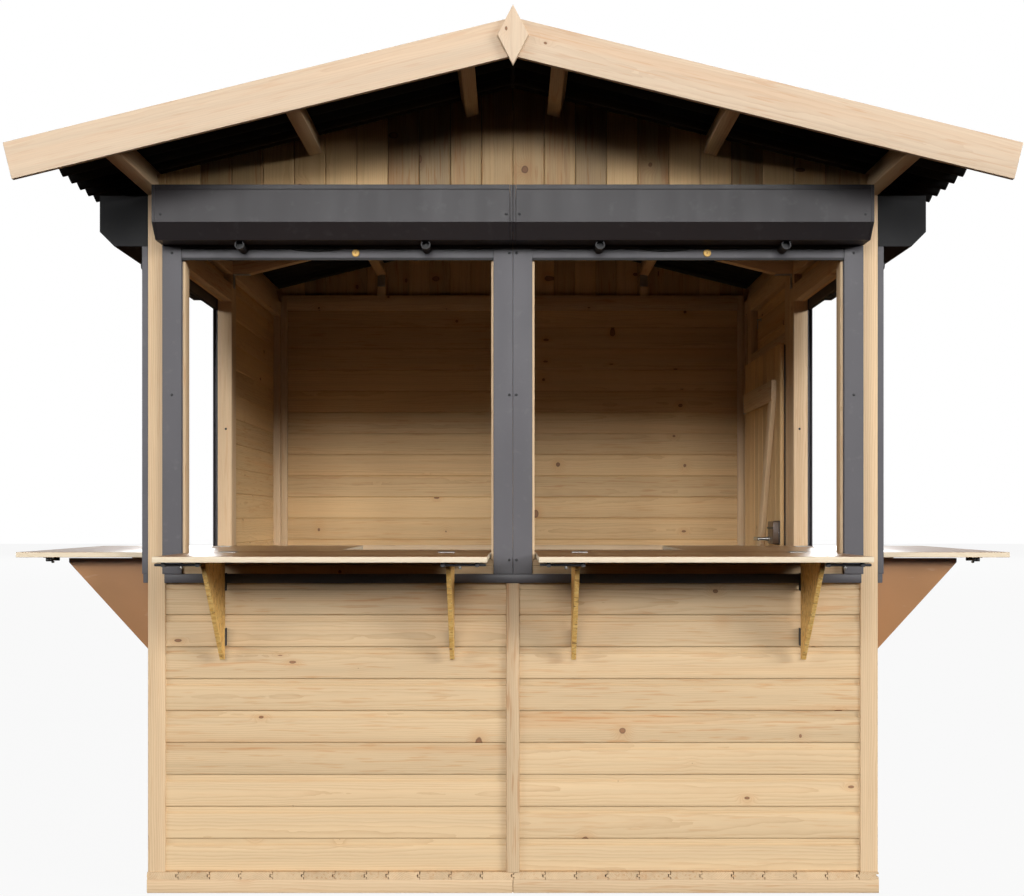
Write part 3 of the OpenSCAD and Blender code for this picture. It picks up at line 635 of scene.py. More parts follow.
for part, main, out_axis in (("front_shutter_boxes", 0, 1), ("side_shutter_boxes", 1, 0)):
    low, high = blocks(part)
    middle = (low + high) / 2
    along = np.tile(np.eye(3)[main], (2, 1))
    out = np.zeros((2, 3))
    out[:, out_axis] = -1 if out_axis == 1 else np.sign(middle[:, 0])
    foot = low.copy()
    foot[:, out_axis] = front_y if out_axis == 1 else np.where(middle[:, 0] > 0, low[:, 0], high[:, 0])
    whole = (high - low)[:, main]
    body = lengths(part + "_folded", box_shape, foot + along * (plate_t + seam), along, out,
                   whole - 2 * (plate_t + seam), (shade_darkened_box_coat,))
    both_ends = np.concatenate([foot, foot + along * (whole - plate_t)[:, None]])
    ends = lengths(part + "_end_plates", plate_shape, both_ends, np.tile(along, (2, 1)), np.tile(out, (2, 1)),
                   plate_t, (shade_darkened_box_coat if main == 0 else dark_plate,))
    for piece in (body, ends):
        soften(piece, 0.0012)
        fitted(piece)
    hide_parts(part)

screw_head = [(0.0046, 0), (0.0046, 0.0010), (0.0036, 0.0022), (0.0020, 0.0027), (0.0015, 0.0016)]
lid_z = box_z + 0.076
box_face = front_y - box_d
places = [[s * x, box_face, lid_z] for s in (1, -1) for x in (0.022, 1.167)]
lid_screws = turned("shutter_box_screws", places, (0, -1, 0), screw_head, (end_plate,), 14)
side_face = half_w + box_d
places = [[s * side_face, front_y + d, lid_z] for s in (1, -1) for d in (0.030, 1.190)]
sideways = [[s, 0, 0] for s in (1, 1, -1, -1)]
side_screws = turned("side_box_screws", places, sideways, screw_head, (end_plate,), 14)
for piece in (lid_screws, side_screws):
    fitted(piece)

# -------------------------------------------------- shutter guide rails
# Extruded channels screwed to the posts outside, their slots facing the
# openings, and the bottom slat of each rolled up curtain between them.

rail_low, rail_high = blocks("guide_rails")
middle = (rail_low + rail_high) / 2
rail_w, rail_d, slot_d, slot_w = 0.066, 0.020, 0.024, 0.0126
on_front = middle[:, 1] < front_y
facing = np.zeros((len(middle), 3))
x_way = np.where(np.abs(middle[:, 0]) < half_w / 2, 1, -1) * np.sign(middle[:, 0])
facing[:, 0] = np.where(on_front, x_way, 0)
facing[:, 1] = np.where(on_front, 0, np.where(middle[:, 1] < front_y + 0.5, 1, -1))
w, d, s = rail_w / 2, rail_d / 2, slot_w / 2
channel = np.array([[-w, -d], [w, -d], [w, -s], [w - slot_d, -s], [w - slot_d, s], [w, s], [w, d], [-w, d]])
start = middle * [1, 1, 0] + rail_low * [0, 0, 1]
height = rail_high[0, 2] - rail_low[0, 2]
rails = carried("guide_channels", channel, start, (0, 0, 1), facing, (0, height), (anthracite,))
soften(rails, 0.0014)
fitted(rails, "guide_rails")

places = [[s * x, front_y - rail_d, z] for z in (2.188, 1.704, 1.141) for s in (1, -1) for x in (0.012, 1.163)]
rail_screws = turned("guide_screws", places, (0, -1, 0), screw_head, (end_plate,), 14)
fitted(rail_screws)

slat_low, slat_high = blocks("shutter_bottom_slats")
middle = (slat_low + slat_high) / 2
slat_z, slat_top = slat_low[0, 2], slat_high[0, 2]
slat_t, lip_h, into_slot = 0.012, 0.007, 0.018
main = np.where(middle[:, 1] < front_y, 0, 1)
row = np.arange(len(main))
along = np.eye(3)[main]
out = np.where(main[:, None] == 0, [[0.0, -1, 0]], np.sign(middle[:, :1]) * [[1.0, 0, 0]])
h = slat_top - slat_z
profile = np.array([[-0.5, lip_h], [0.5, lip_h], [0.5, h - 0.012], [0.36, h - 0.010], [0.36, h - 0.008],
                    [0.5, h - 0.006], [0.5, h], [-0.5, h]]) * [slat_t, 1]
lip = np.array([[-0.32, 0], [0.32, 0], [0.42, lip_h], [-0.42, lip_h]]) * [slat_t, 1]
start = middle.copy()
start[row, main] = slat_low[row, main] - into_slot
start[:, 2] = slat_z
length = (slat_high - slat_low)[row, main] + 2 * into_slot
slats = lengths("bottom_slats", profile, start, along, out, length, (anthracite,))
soften(slats, 0.0010)

rubber, t = fresh("black_rubber")
place = node(t, "TexCoord").outputs["Object"]
grime = noise(t, place, (90, 90, 90), 4.0)
colour = blend(t, grime, (0.012, 0.012, 0.013), (0.032, 0.031, 0.031))
finish_coat(t, colour, plus(t, 0.46, grime, 0.25), relief(t, grime, 0.0004, 0.4))

lips = lengths("slat_lips", lip, start, along, out, length, (rubber,))
for piece in (slats, lips):
    fitted(piece)
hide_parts("shutter_bottom_slats")

# -------------------------------------------------------- slat fittings
# Each curtain's bottom slat has two hollow rubber stops that meet the box,
# a lens shaped finger grip and a round brass lock. Screwed on from outside.

slat_face = front_y - 0.016
side_slat_face = half_w + 0.016
stop = [(0.0165, 0), (0.0165, 0.006), (0.0138, 0.010), (0.0138, 0.066), (0.0168, 0.071), (0.0168, 0.080),
        (0.0155, 0.0825), (0.0120, 0.0825), (0.0110, 0.062)]
stop_z = slat_z + 0.0370
places = [[s * x, slat_face, stop_z] for s in (1, -1) for x in (0.293, 0.918)]
stops = turned("shutter_stops", places, (0, -1, 0), stop, (rubber,), 28)
places = [[s * side_slat_face, front_y + d, stop_z] for s in (1, -1) for d in (0.30, 0.93)]
side_stops = turned("side_shutter_stops", places, sideways, stop, (rubber,), 28)

angle = np.linspace(0, 2 * np.pi, 48, endpoint=False)
grip_l, grip_h = 0.089, 0.0085
lens = np.stack([grip_l * np.cos(angle), grip_h * np.sign(np.sin(angle)) * np.abs(np.sin(angle)) ** 1.6], 1)
grip_x = np.array([-0.669, 0.519])
start = np.stack([grip_x, 0 * grip_x + slat_face + 0.001, 0 * grip_x + slat_top - 0.013], 1)
grips = carried("shutter_grips", lens, start, (0, -1, 0), (1, 0, 0), (0, 0.0035, 0.0045, 0.0020), (rubber,),
                [[1.0, 1.0], [1.0, 1.0], [0.97, 0.80], [0.90, 0.55]])
for piece in (stops, side_stops, grips):
    fitted(piece)

brass, t = fresh("brass")
place = node(t, "TexCoord").outputs["Object"]
worn = noise(t, place, (160, 160, 160), 4.0)
colour = blend(t, worn, (0.36, 0.22, 0.075), (0.50, 0.33, 0.12))
finish_coat(t, colour, plus(t, 0.40, worn, 0.20), relief(t, worn, 0.0002, 0.3), Metallic=1.0)
lock_x = np.array([-0.536, 0.663])
places = np.stack([lock_x, 0 * lock_x + slat_face, 0 * lock_x + slat_z + 0.023], 1)
locks = turned("shutter_locks", places, (0, -1, 0),
               [(0.0135, 0), (0.0135, 0.003), (0.0120, 0.0045), (0.0075, 0.0045), (0.0068, 0.0030),
                (0.0040, 0.0030)], (brass,), 32)
# The keyway is no slot: a thin black sliver on each lock's face is painted shade for it.
keyhole_shade = timbers("shutter_keyhole_shade", places + [0, -0.0029, 0], (0, -1, 0), (1, 0, 0),
                   (0.0006, 0.0016, 0.0075), arris=0.0003, end=0.0001, finishes=(rubber,), wooden=False)
for piece in (locks, keyhole_shade):
    fitted(piece)

# ----------------------------------------------- sill trims and batten
# Dark coated strips under the openings that the shutters close on, and a
# planed batten nailed over the joint between the two front panels.

trims = timbers("sill_trims_coated", *lie(*blocks("sill_trims")), arris=0.0025, finishes=(anthracite,),
                wooden=False)
fitted(trims, "sill_trims")
batten = timbers("front_batten_planed", *lie(*blocks("front_batten")), arris=0.0035)
fitted(batten, "front_batten")

# ------------------------------------------------------------- counter
# Worktops and flaps of birch plywood faced with brown film: the sawn edges
# show the plies, and the battens that carry them are screwed to the frame.


def film_faced(name, brown, light):
    """Brown phenol film with a faint pressed mesh, cloudy wear and thin pale scratches."""
    film, t = fresh(name)
    place = node(t, "TexCoord").outputs["Object"]
    cloud = noise(t, place, (4, 4, 4), 5.0)
    scratch = node(t, "MapRange", {0: noise(t, place, (9, 260, 40), 3.0), 1: 0.66, 2: 0.72}).outputs[0]
    speck = noise(t, place, (420, 420, 420), 2.0)
    colour = blend(t, cloud, tuple(0.80 * c for c in brown), tuple(1.20 * c for c in brown))
    colour = blend(t, calc(t, "MULTIPLY", scratch, 0.22, clamp=True), colour, light)
    rough = plus(t, 0.24, cloud, 0.16)
    finish_coat(t, colour, rough, relief(t, plus(t, speck, scratch, -0.5), 0.0003, 0.3),
                Coat_Weight=0.45, Coat_Roughness=0.30)
    return film


film = film_faced("film_plywood", (0.405, 0.190, 0.068), (0.62, 0.44, 0.30))

ply_edge, t = fresh("ply_edge")
place = node(t, "TexCoord").outputs["Object"]
x, y, z = node(t, "SeparateXYZ", {0: place}).outputs
ragged = swing(t, noise(t, place, (60, 60, 300), 3.0), 0.0009)
layer = calc(t, "FRACT", calc(t, "DIVIDE", calc(t, "ADD", z, ragged), 0.0032))
glue = calc(t, "POWER", calc(t, "ABSOLUTE", calc(t, "SUBTRACT", calc(t, "MULTIPLY", layer, 2.0), 1.0)), 5.0)
cross_ply = node(t, "MapRange", {0: noise(t, place, (35, 35, 900), 2.0), 1: 0.35, 2: 0.65}).outputs[0]
colour = blend(t, cross_ply, (0.80, 0.66, 0.46), (0.90, 0.78, 0.60))
colour = blend(t, calc(t, "MULTIPLY", glue, 0.55, clamp=True), colour, (0.50, 0.33, 0.18))
finish_coat(t, colour, plus(t, 0.60, cross_ply, 0.12), relief(t, cross_ply, 0.0003, 0.4))


def faced(piece, axis):
    """Gives the film to the faces that look along one axis, and the edge finish to the others."""
    normal = np.empty(len(piece.data.polygons) * 3, np.float32)
    piece.data.polygons.foreach_get("normal", normal)
    which = np.where(np.abs(normal.reshape(-1, 3)[:, axis]) > 0.6, 0, 1).astype(np.int32)
    piece.data.polygons.foreach_set("material_index", which)


flap_parts = ("front_left_flap", "front_right_flap", "left_flap", "right_flap")
for part in ("front_worktop", "side_worktops") + flap_parts:
    board = timbers(part + "_faced", *lie(*blocks(part)), arris=0.0012, end=0.0008,
                    finishes=(film, ply_edge), wooden=False)
    faced(board, 2)
    fitted(board, part, part if part in flap_parts else "stall")
bearers = timbers("worktop_bearers_planed", *lie(*blocks("worktop_bearers")), arris=0.003)
fitted(bearers, "worktop_bearers")

# -------------------------------------------------------- flap fittings
# Bright zinc steel: two butt hinges let into the top of each flap, and a
# bolt with a knob under each outer corner that locks the closed flap.

zinc, t = fresh("steel")
place = node(t, "TexCoord").outputs["Object"]
spangle = noise(t, place, (55, 55, 55), 5.0)
colour = blend(t, spangle, (0.36, 0.355, 0.345), (0.62, 0.61, 0.59))
finish_coat(t, colour, plus(t, 0.26, spangle, 0.24), relief(t, spangle, 0.0002, 0.3), Metallic=1.0)

counter_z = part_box("front_worktop")[1].z
under_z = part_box("front_worktop")[0].z
hinge_y = front_y + 0.055
leaf_w, leaf_d, leaf_t, pin_r = 0.056, 0.032, 0.0018, 0.0036


def plates(name, low, high, finish=None, arris=0.0006, axis=None):
    """Thin plates between corners."""
    return timbers(name, *lie(np.asarray(low, float), np.asarray(high, float), axis), arris=arris, end=0.0003,
                   finishes=(finish or zinc,), wooden=False)


def flap_hinges(flap, centres, toward):
    """Two leaves and a pin at each centre on the flap's hinge line: toward is the level direction from the pin
    to the flap. The flap's leaf rides on the flap, the other leaf and the pin on the stall."""
    toward = np.array(toward, float)
    line = np.abs(np.cross(toward, [0, 0, 1]))
    top = np.array([0, 0, counter_z])
    corners = [[c + top + line * leaf_w / 2 * a + toward * b for a, b in ((-1, 0.002), (1, leaf_d))]
               for c in centres]
    lower, upper = np.min(corners, 1), np.max(corners, 1)
    moving = plates(flap + "_hinge_leaf", lower, upper + [0, 0, leaf_t])
    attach(moving, flap)
    lower, upper = lower - toward * (leaf_d + 0.002), upper - toward * (leaf_d + 0.002)
    fixed = plates(flap + "_hinge_fixed_leaf", lower, upper + [0, 0, leaf_t])
    pins = turned(flap + "_hinge_pin", [c + top - line * leaf_w / 2 for c in centres], line,
                  [(pin_r * 0.7, 0), (pin_r, 0.001), (pin_r, leaf_w - 0.001), (pin_r * 0.7, leaf_w)],
                  (zinc,), 16)
    for piece in (fixed, pins):
        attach(piece, "stall")


inner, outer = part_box("front_right_flap")[0].x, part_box("front_right_flap")[1].x
near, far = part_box("right_flap")[0].y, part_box("right_flap")[1].y
flap_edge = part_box("front_right_flap")[0].y
flap_hinges("front_right_flap", [np.array([x, hinge_y, 0]) for x in (0.230, 0.983)], (0, -1, 0))
flap_hinges("front_left_flap", [np.array([x, hinge_y, 0]) for x in (-0.230, -0.983)], (0, -1, 0))
side_hinge_x = half_w - 0.055
for s, flap in ((1, "right_flap"), (-1, "left_flap")):
    flap_hinges(flap, [np.array([s * side_hinge_x, y, 0]) for y in (near + 0.15, far - 0.15)], (s, 0, 0))


def flap_bolts(flap, end, centres, line, reach):
    """A plate with two loops, a round bolt through them and a knob below, under the flap at each centre.
    line is the bolt's level direction, toward the post it shoots into."""
    line = np.array(line, float)
    across = np.cross([0, 0, 1], line)
    centres = np.asarray(centres, float)
    rod_z, rod_r = under_z - 0.0085, 0.0046

    def between(a, b, c, d, low, high):
        corners = np.array([[m + line * a + across * c, m + line * b + across * d] for m in centres])
        lower, upper = corners.min(1), corners.max(1)
        lower[:, 2], upper[:, 2] = low, high
        return lower, upper

    plate = plates(flap + end + "_bolt_plate",
                   *between(-reach / 2, reach / 2, -0.016, 0.016, under_z - 0.002, under_z), end_plate)
    near_loop, far_loop = (between(x - 0.007, x + 0.007, -0.0095, 0.0095, under_z - 0.0150, under_z - 0.0015)
                           for x in (-0.38 * reach, 0.38 * reach))
    loop = plates(flap + end + "_bolt_loops", *(np.concatenate(pair) for pair in zip(near_loop, far_loop)),
                  end_plate, arris=0.004)
    rod = turned(flap + end + "_bolt_rod", centres - line * reach * 0.42 + [0, 0, rod_z], line,
                 [(rod_r * 0.8, 0), (rod_r, 0.001), (rod_r, reach * 0.98), (rod_r * 0.6, reach)],
                 (end_plate,), 16)
    knob = turned(flap + end + "_bolt_knob", centres + [0, 0, rod_z - 0.002], (0, 0, -1),
                  [(0.0026, 0), (0.0026, 0.004), (0.0050, 0.0055), (0.0058, 0.008), (0.0045, 0.0105),
                   (0.0020, 0.0115)], (zinc,), 16)
    for piece in (plate, loop, rod, knob):
        fitted(piece, body=flap)


bolt_y = flap_edge + 0.040
for s, flap in ((1, "front_right_flap"), (-1, "front_left_flap")):
    flap_bolts(flap, "_outer", [[s * (outer - 0.080), bolt_y, 0]], (s, 0, 0), 0.141)
    flap_bolts(flap, "_inner", [[s * (inner + 0.085), bolt_y, 0]], (-s, 0, 0), 0.141)
side_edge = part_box("right_flap")[1].x
for s, flap in ((1, "right_flap"), (-1, "left_flap")):
    flap_bolts(flap, "_near", [[s * (side_edge - 0.105), near + 0.075, 0]], (0, -1, 0), 0.110)
    flap_bolts(flap, "_far", [[s * (side_edge - 0.105), far - 0.075, 0]], (0, 1, 0), 0.110)

# ------------------------------------------------------------ brackets
# Triangles sawn from coarse strand board at the front and from film faced
# plywood at the sides. Each swings on two steel hinges on the wall.

lightened_strand_board, t = fresh("osb_board")
place = node(t, "TexCoord").outputs["Object"]
laid = None
# The flakes are paler than the board's own colour: painted light for the bracket faces under the flaps.
for turn, size, shift in ((0.5, (60, 210, 60), 0.0), (1.6, (70, 250, 70), 3.7), (2.5, (55, 180, 55), 7.9)):
    tilted = node(t, "Mapping", {0: place, 1: (shift,) * 3, 2: (turn, turn * 0.5, 0), 3: size}).outputs[0]
    strand = node(t, "TexVoronoi", {"Vector": tilted, "Scale": 1.0})
    pick = node(t, "SeparateColor", {0: strand.outputs["Color"]}).outputs
    shade = blend(t, pick[0], (0.78, 0.430, 0.100), (0.94, 0.650, 0.240))
    shade = blend(t, calc(t, "POWER", pick[1], 9.0), shade, (0.34, 0.140, 0.040))
    laid = shade if laid is None else blend(t, calc(t, "GREATER_THAN", pick[2], 0.52), laid, shade)
hair = noise(t, place, (70, 420, 420), 3.0)
colour = node(t, "HueSaturation", {"Color": laid, "Value": plus(t, 0.84, hair, 0.36)}).outputs[0]
finish_coat(t, colour, plus(t, 0.55, hair, 0.15), relief(t, hair, 0.0010, 0.5))

nose = 0.015
for part in sorted(n for n in frame["nodes"] if n.startswith("bracket_")):
    low, high = (np.array(v, float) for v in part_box(part))
    front = part.startswith("bracket_front")
    thick = 0 if front else 1
    out = np.array([0.0, -1, 0]) if front else np.array([np.sign(low[0] + high[0]), 0.0, 0])
    reach, tall = (high - low)[1 - thick], high[2] - low[2]
    shape = np.array([[0, 0], [nose, 0], [reach, tall - nose], [reach, tall], [0, tall]])
    along = np.eye(3)[thick]
    start = np.where(out > 0, low, np.where(out < 0, high, low))
    start[2] = low[2]
    wing = lengths(part + "_sawn", shape, [start], [along], [out], high[thick] - low[thick],
                   (lightened_strand_board,) if front else (film, ply_edge))
    if not front:
        faced(wing, thick)
    soften(wing, 0.0010)
    fitted(wing, part, part)
    hinge = next(j for j in frame["joints"] if j["child"] == part)
    pin = np.array(hinge["pos_m"], float) * [1, 1, 0]
    foots = low[2] + 0.045, high[2] - 0.105
    knuckles = turned(part + "_knuckles", [pin + [0, 0, z] for z in foots], (0, 0, 1),
                      [(0.0026, 0), (0.0036, 0.001), (0.0036, 0.059), (0.0026, 0.060)], (end_plate,), 14)
    back = pin - out * (0.0285 if front else 0.0215)
    corner = [[back - along * 0.0012 + [0, 0, z], pin + along * 0.0012 - out * 0.002 + [0, 0, z + 0.060]]
              for z in foots]
    web = plates(part + "_hinge_webs", np.min(corner, 1), np.max(corner, 1), end_plate)
    for piece in (knuckles, web):
        fitted(piece)

# ---------------------------------------------------------------- door
# A leaf of upright boards on two ledges and a brace, hung inside the right
# wall on three steel hinges, with an enamelled rim lock and a lever.

low, high = ripped(*blocks("door_boards"), 1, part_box("door_boards")[0].y + board_pitch * np.arange(1, 9), 0.03)
# The leaf takes the boards' painted-shade copy.
leaf = timbers("door_leaf", *lie(low, high, 2), arris=v_joint, soft=0.5, end=0.0010, finishes=(shade_tinted_boards,))
ledges = timbers("door_ledge_boards", *lie(*blocks("door_ledges")), arris=0.004)
low, high = (np.array(v, float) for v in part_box("door_brace"))
brace_w, thick = 0.080, high[0] - low[0]
foot = np.array([(low[0] + high[0]) / 2, high[1] - brace_w / 2, low[2]])
head = np.array([(low[0] + high[0]) / 2, low[1] + brace_w / 2, high[2]])
way = (head - foot) / np.linalg.norm(head - foot)
cut = np.zeros((2, 1, 2))
cut[:, 0, 1] = way[1] / way[2]
brace = timbers("door_brace_board", [foot], way, (1, 0, 0),
                (np.linalg.norm(head - foot), thick, brace_w * way[2]), arris=0.004, cut=cut)
for piece, slot_name, part in ((leaf, "spruce_boards", "door_boards"), (ledges, "spruce_frame", "door_ledges"),
                               (brace, "spruce_frame", "door_brace")):
    fitted(piece, part, "door")

leaf_low, leaf_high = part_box("door_boards")
knuckle_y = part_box("door_hinges")[1].y - 0.006
ledge_low, ledge_high = blocks("door_ledges")
middles = (ledge_low + ledge_high)[:, 2] / 2
heights = np.sort(np.append(middles, middles.mean()))
strap = plates("door_hinge_plates", [[leaf_low.x - 0.003, leaf_high.y - 0.070, z - 0.045] for z in heights],
               [[leaf_low.x, knuckle_y, z + 0.045] for z in heights], arris=0.0008)
barrel = turned("door_hinge_barrels", [[leaf_low.x - 0.003, knuckle_y, z - 0.045] for z in heights], (0, 0, 1),
                [(0.0045, 0), (0.006, 0.0015), (0.006, 0.0290), (0.0052, 0.0295), (0.0052, 0.0305),
                 (0.006, 0.0310), (0.006, 0.0590), (0.0052, 0.0595), (0.0052, 0.0605), (0.006, 0.0610),
                 (0.006, 0.0885), (0.0045, 0.090)], (zinc,), 20)
places = [[leaf_low.x - 0.003, leaf_high.y - d, z + h]
          for z in heights for d, h in ((0.056, 0.030), (0.056, -0.030), (0.022, 0.0))]
strap_screws = turned("door_hinge_screws", places, (-1, 0, 0), screw_head, (zinc,), 12)
for piece in (strap, barrel, strap_screws):
    fitted(piece, body="door")
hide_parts("door_hinges")

post_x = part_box("right_wall_posts")[0].x
seal_in, seal_w, seal_t = 0.004, 0.012, 0.0045
near, far, top = leaf_low.y + seal_in, leaf_high.y - seal_in, leaf_high.z - seal_in
seal_face = post_x - seal_t
seal_low = [[seal_face, near, leaf_low.z], [seal_face, far - seal_w, leaf_low.z],
            [seal_face, near + seal_w, top - seal_w]]
seal_high = [[post_x, near + seal_w, top], [post_x, far, top], [post_x, far - seal_w, top]]
seal = timbers("door_seal", *lie(np.array(seal_low), np.array(seal_high)), arris=0.0012, end=0.0005,
               finishes=(rubber,), wooden=False)
fitted(seal)

enamel = powder_coat("lock_enamel", (0.105, 0.058, 0.030), (0.26, 0.17, 0.10), 0.36)
low, high = (np.array(v, float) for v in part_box("door_lock"))
inset, rim = 0.004, 0.003
case = timbers("rim_lock_case", *lie(np.array([low + [inset, rim, rim]]), np.array([high - [0, rim, rim]]), 0),
               arris=0.005, end=0.0015, finishes=(enamel,), wooden=False)
base = timbers("rim_lock_flange", *lie(np.array([[high[0] - 0.005, low[1], low[2]]]), np.array([high]), 0),
               arris=0.003, end=0.0008, finishes=(end_plate,), wooden=False)
bar_z = low[2] + (high[2] - low[2]) * 0.66
bar = timbers("rim_lock_bar", *lie(np.array([[low[0], low[1] + 0.003, bar_z]]),
                                   np.array([[low[0] + 0.006, high[1] - 0.003, bar_z + 0.008]]), 1),
              arris=0.0016, finishes=(end_plate,), wooden=False)
lever_low, lever_high = (np.array(v, float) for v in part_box("door_lever"))
spindle = np.array([0.0, lever_low[1] + 0.009, (lever_low[2] + lever_high[2]) / 2])
rose = turned("rim_lock_rose", [spindle + [low[0] + inset, 0, 0]], (-1, 0, 0),
              [(0.019, 0), (0.019, 0.0015), (0.016, 0.0032), (0.011, 0.0038)], (zinc,), 32)
lock_screws = turned("rim_lock_screws", [[high[0] - 0.005, low[1] + a, low[2] + 0.052] for a in (0.003, 0.127)],
                     (-1, 0, 0), [(0.0026, 0), (0.0020, 0.0012)], (zinc,), 12)
for piece in (case, base, bar, rose, lock_screws):
    fitted(piece, body="door")
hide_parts("door_lock")

neck = turned("lever_neck", [spindle + [lever_high[0], 0, 0]], (-1, 0, 0),
              [(0.0088, 0), (0.0088, 0.006), (0.0070, 0.009), (0.0068, 0.034), (0.0086, 0.040),
               (0.0086, 0.0445), (0.006, 0.0470)],
              (zinc,), 24)
angle = np.linspace(0, 2 * np.pi, 24, endpoint=False)
oval = np.stack([0.0045 * np.cos(angle), 0.0088 * np.sin(angle)], 1)
distance = [0, 0.004, 0.020, 0.050, 0.085, 0.106, 0.114, 0.1178]
swell = [[0.55, 0.60], [0.90, 0.92], [0.95, 0.86], [0.90, 0.78], [0.95, 0.86], [1.0, 0.98], [0.85, 0.88],
         [0.45, 0.50]]
grip = carried("lever_grip", oval, [[lever_low[0] + 0.0048, lever_low[1], spindle[2]]], (0, 1, 0), (1, 0, 0),
               distance, (zinc,), swell)
for piece in (neck, grip):
    fitted(piece, body="door_lever")
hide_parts("door_lever")

# ------------------------------------------------------ nailed fittings
# Perforated zinc straps nailed where rafters and purlins meet the frame,
# black discs painted as the shade in screw holes in the posts, and a small
# hook that holds the open door.

inner_x, seat_z = post_w - 0.001, rafter_low.z
strap_t, strap_w, strap_h, strap_l = 0.002, 0.020, 0.060, 0.072
nail_head = [(0.0035, 0), (0.0030, 0.0012), (0.0012, 0.0016)]
for s, tag in ((1, "right"), (-1, "left")):
    corners = np.array([[[s * inner_x, rafter_y - strap_w, seat_z - strap_h],
                         [s * (inner_x - strap_t), rafter_y + strap_w, seat_z]],
                        [[s * inner_x, rafter_y - strap_w, seat_z - strap_t],
                         [s * (post_w - strap_l), rafter_y + strap_w, seat_z]]])
    angle_strap = plates("rafter_strap_" + tag, corners.min(1), corners.max(1))
    hole = [[s * (inner_x - strap_t), rafter_y + dy, seat_z - dz]
            for dz in (0.018, 0.034, 0.050) for dy in (-0.010, 0.010)]
    nails_low = turned("rafter_strap_nails_" + tag, hole, (-s, 0, 0), nail_head, (zinc,), 10)
    hole = [[s * (post_w - d), rafter_y + dy, seat_z - strap_t]
            for d in (0.022, 0.042, 0.062) for dy in (-0.010, 0.010)]
    nails_up = turned("rafter_strap_nails_up_" + tag, hole, (0, 0, -1), nail_head, (zinc,), 10)
    for piece in (angle_strap, nails_low, nails_up):
        fitted(piece)

stud_low, stud_high = blocks("gable_studs")
outer_stud = np.abs((stud_low + stud_high)[:, 0]) > 0.4
stud_low, stud_high = stud_low[outer_stud], stud_high[outer_stud]
inward = -np.sign(stud_low[:, 1] + stud_high[:, 1])
face = np.where(inward > 0, stud_high[:, 1], stud_low[:, 1])
proud = face + inward * strap_t
lower = np.stack([stud_low[:, 0] + 0.003, np.minimum(face, proud), stud_low[:, 2] + 0.045], 1)
upper = np.stack([stud_high[:, 0] - 0.003, np.maximum(face, proud), stud_low[:, 2] + 0.105], 1)
stud_plates = plates("stud_nail_plates", lower, upper)
middle = (lower + upper) / 2
hole = np.concatenate([np.stack([middle[:, 0] + dx, proud, middle[:, 2] + dz], 1)
                       for dx in (-0.010, 0.010) for dz in (-0.020, 0.0, 0.020)])
stud_nails = turned("stud_plate_nails", hole, np.tile(np.stack([0 * inward, inward, 0 * inward], 1), (6, 1)),
                    nail_head, (zinc,), 10)
post_face = front_y + 1.154
# Flat black discs on the posts are painted shade for empty screw holes.
post_hole_shade = turned("post_screw_hole_shade", [[s * 1.215, post_face, 1.660] for s in (1, -1)], (0, -1, 0),
                    [(0.0048, 0), (0.0048, 0.0004), (0.0040, 0.0005)], (rubber,), 16)
hook_y, hook_z = front_y + 1.939, 2.230
hook_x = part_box("right_wall_rails")[0].x
hook_base = turned("door_hook_base", [[hook_x, hook_y, hook_z]], (-1, 0, 0),
                   [(0.010, 0), (0.010, 0.0015), (0.004, 0.003), (0.003, 0.016), (0.0045, 0.018),
                    (0.003, 0.020)], (zinc,), 16)
hook_bar = plates("door_hook_bar", [[hook_x - 0.0185, hook_y - 0.003, hook_z - 0.045]],
                  [[hook_x - 0.0145, hook_y + 0.003, hook_z]], arris=0.0016)
for piece in (stud_plates, stud_nails, post_hole_shade, hook_base, hook_bar):
    fitted(piece)

beam_low, beam_high = blocks("base_end_beams")
on_right = beam_low[:, 0] > 0
half_gap, set_back = beam_low[on_right, 0], 0.010
packing_low = np.stack([-half_gap, beam_low[on_right, 1] + set_back, beam_low[on_right, 2] + 0.001], 1)
packing_high = np.stack([half_gap, beam_high[on_right, 1] - set_back, beam_high[on_right, 2] - 0.001], 1)
packing = timbers("ground_beam_packing", *lie(packing_low, packing_high, 1), arris=0.0003, end=0.0002)
fitted(packing)

# --------------------------------------------------------------- studio
# A pale floor under a white sky. Wide low soft lights stand far off in
# front and behind, and a weak one hangs overhead.

pale, t = fresh("studio_floor")
place = node(t, "TexCoord").outputs["Object"]
haze = noise(t, place, (0.8, 0.8, 0.8), 2.0)
matt = node(t, "BsdfDiffuse", {0: blend(t, haze, (0.50, 0.50, 0.50), (0.53, 0.53, 0.53))}).outputs[0]
lit = node(t, "Emission", {0: (1.0, 1.0, 1.0, 1.0), 1: 1.0}).outputs[0]
seen = calc(t, "MULTIPLY", node(t, "LightPath").outputs["Is Camera Ray"], 0.93)
node(t, "OutputMaterial", {0: node(t, "MixShader", {0: seen, 1: matt, 2: lit}).outputs[0]})
reach = 60.0
x, y = np.meshgrid([-reach, reach], [-reach, reach], indexing="ij")
places = np.stack([x, y, 0 * x - 0.0005], 2).reshape(-1, 3)
ground = put("studio_ground", places, [np.array([[0, 2, 3, 1]])], (pale,))
ground.visible_diffuse = ground.visible_glossy = False

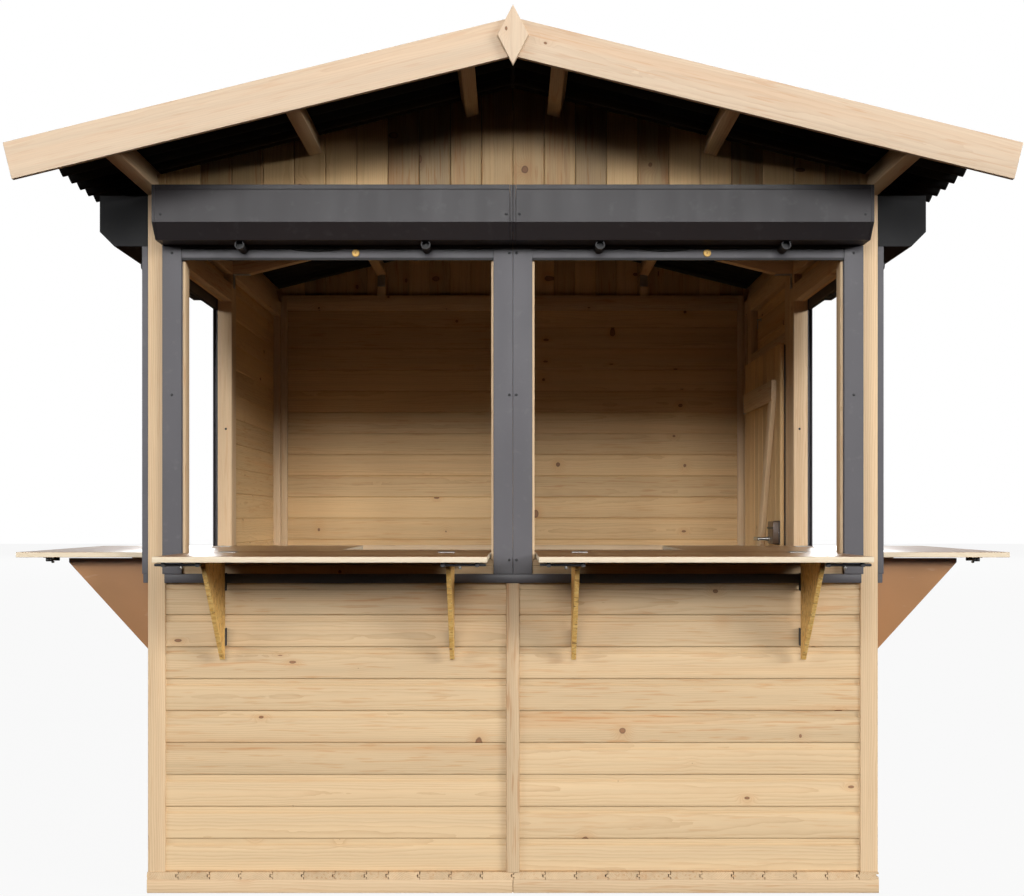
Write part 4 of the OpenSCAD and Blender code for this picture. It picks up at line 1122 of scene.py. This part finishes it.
sky = bpy.data.worlds.new("studio_sky")
sky.use_nodes = True
bpy.context.scene.world = sky
t = sky.node_tree
t.nodes.clear()
ray = node(t, "LightPath").outputs
height = node(t, "SeparateXYZ", {0: node(t, "TexCoord").outputs["Generated"]}).outputs[2]
above = node(t, "MapRange", {0: height, 1: -0.02, 2: 0.10, 3: 0.0, 4: 1.0}).outputs[0]
mirrored = node(t, "MapRange", {0: ray["Is Glossy Ray"], 3: 0.02, 4: 0.70}).outputs[0]
glow = calc(t, "MAXIMUM", calc(t, "MULTIPLY", above, mirrored), ray["Is Camera Ray"])
air = node(t, "Background", {0: (1.0, 1.0, 1.0, 1.0), 1: glow})
node(t, "OutputWorld", {0: air.outputs[0]})


def soft_light(name, place, aim, width, height, power):
    """A rectangular soft light that looks at a point."""
    lamp = bpy.data.lights.new(name, "AREA")
    lamp.shape, lamp.size, lamp.size_y, lamp.energy = "RECTANGLE", width, height, power
    lamp.cycles.max_bounces = 2
    held = bpy.data.objects.new(name, lamp)
    held.location = place
    held.rotation_euler = (Vector(aim) - Vector(place)).to_track_quat("-Z", "Y").to_euler()
    bpy.context.scene.collection.objects.link(held)


soft_light("front_light", (0.0, -40.0, 10.7), (0.0, 0.0, 1.8), 23.0, 6.8, 8500.0)
soft_light("right_light", (33.0, -24.0, 10.9), (0.0, 0.0, 1.8), 20.0, 7.0, 11000.0)
soft_light("left_light", (-33.0, -24.0, 10.9), (0.0, 0.0, 1.8), 20.0, 7.0, 6000.0)
soft_light("back_light", (0.0, 40.0, 10.6), (0.0, 0.0, 1.8), 23.0, 12.0, 7000.0)
soft_light("top_light", (0.0, 0.0, 8.5), (0.0, 0.0, 0.0), 9.0, 9.0, 70.0)

lens = bpy.data.cameras.new("view")
lens.lens, lens.sensor_width, lens.shift_y = 50.0, 36.0, 0.0664
view = bpy.data.objects.new("view", lens)
view.location = (-0.003, -6.12, 1.291)
view.rotation_euler = (math.radians(90), 0, 0)
bpy.context.scene.collection.objects.link(view)
bpy.context.scene.camera = view
bpy.context.scene.view_settings.view_transform = "Standard"
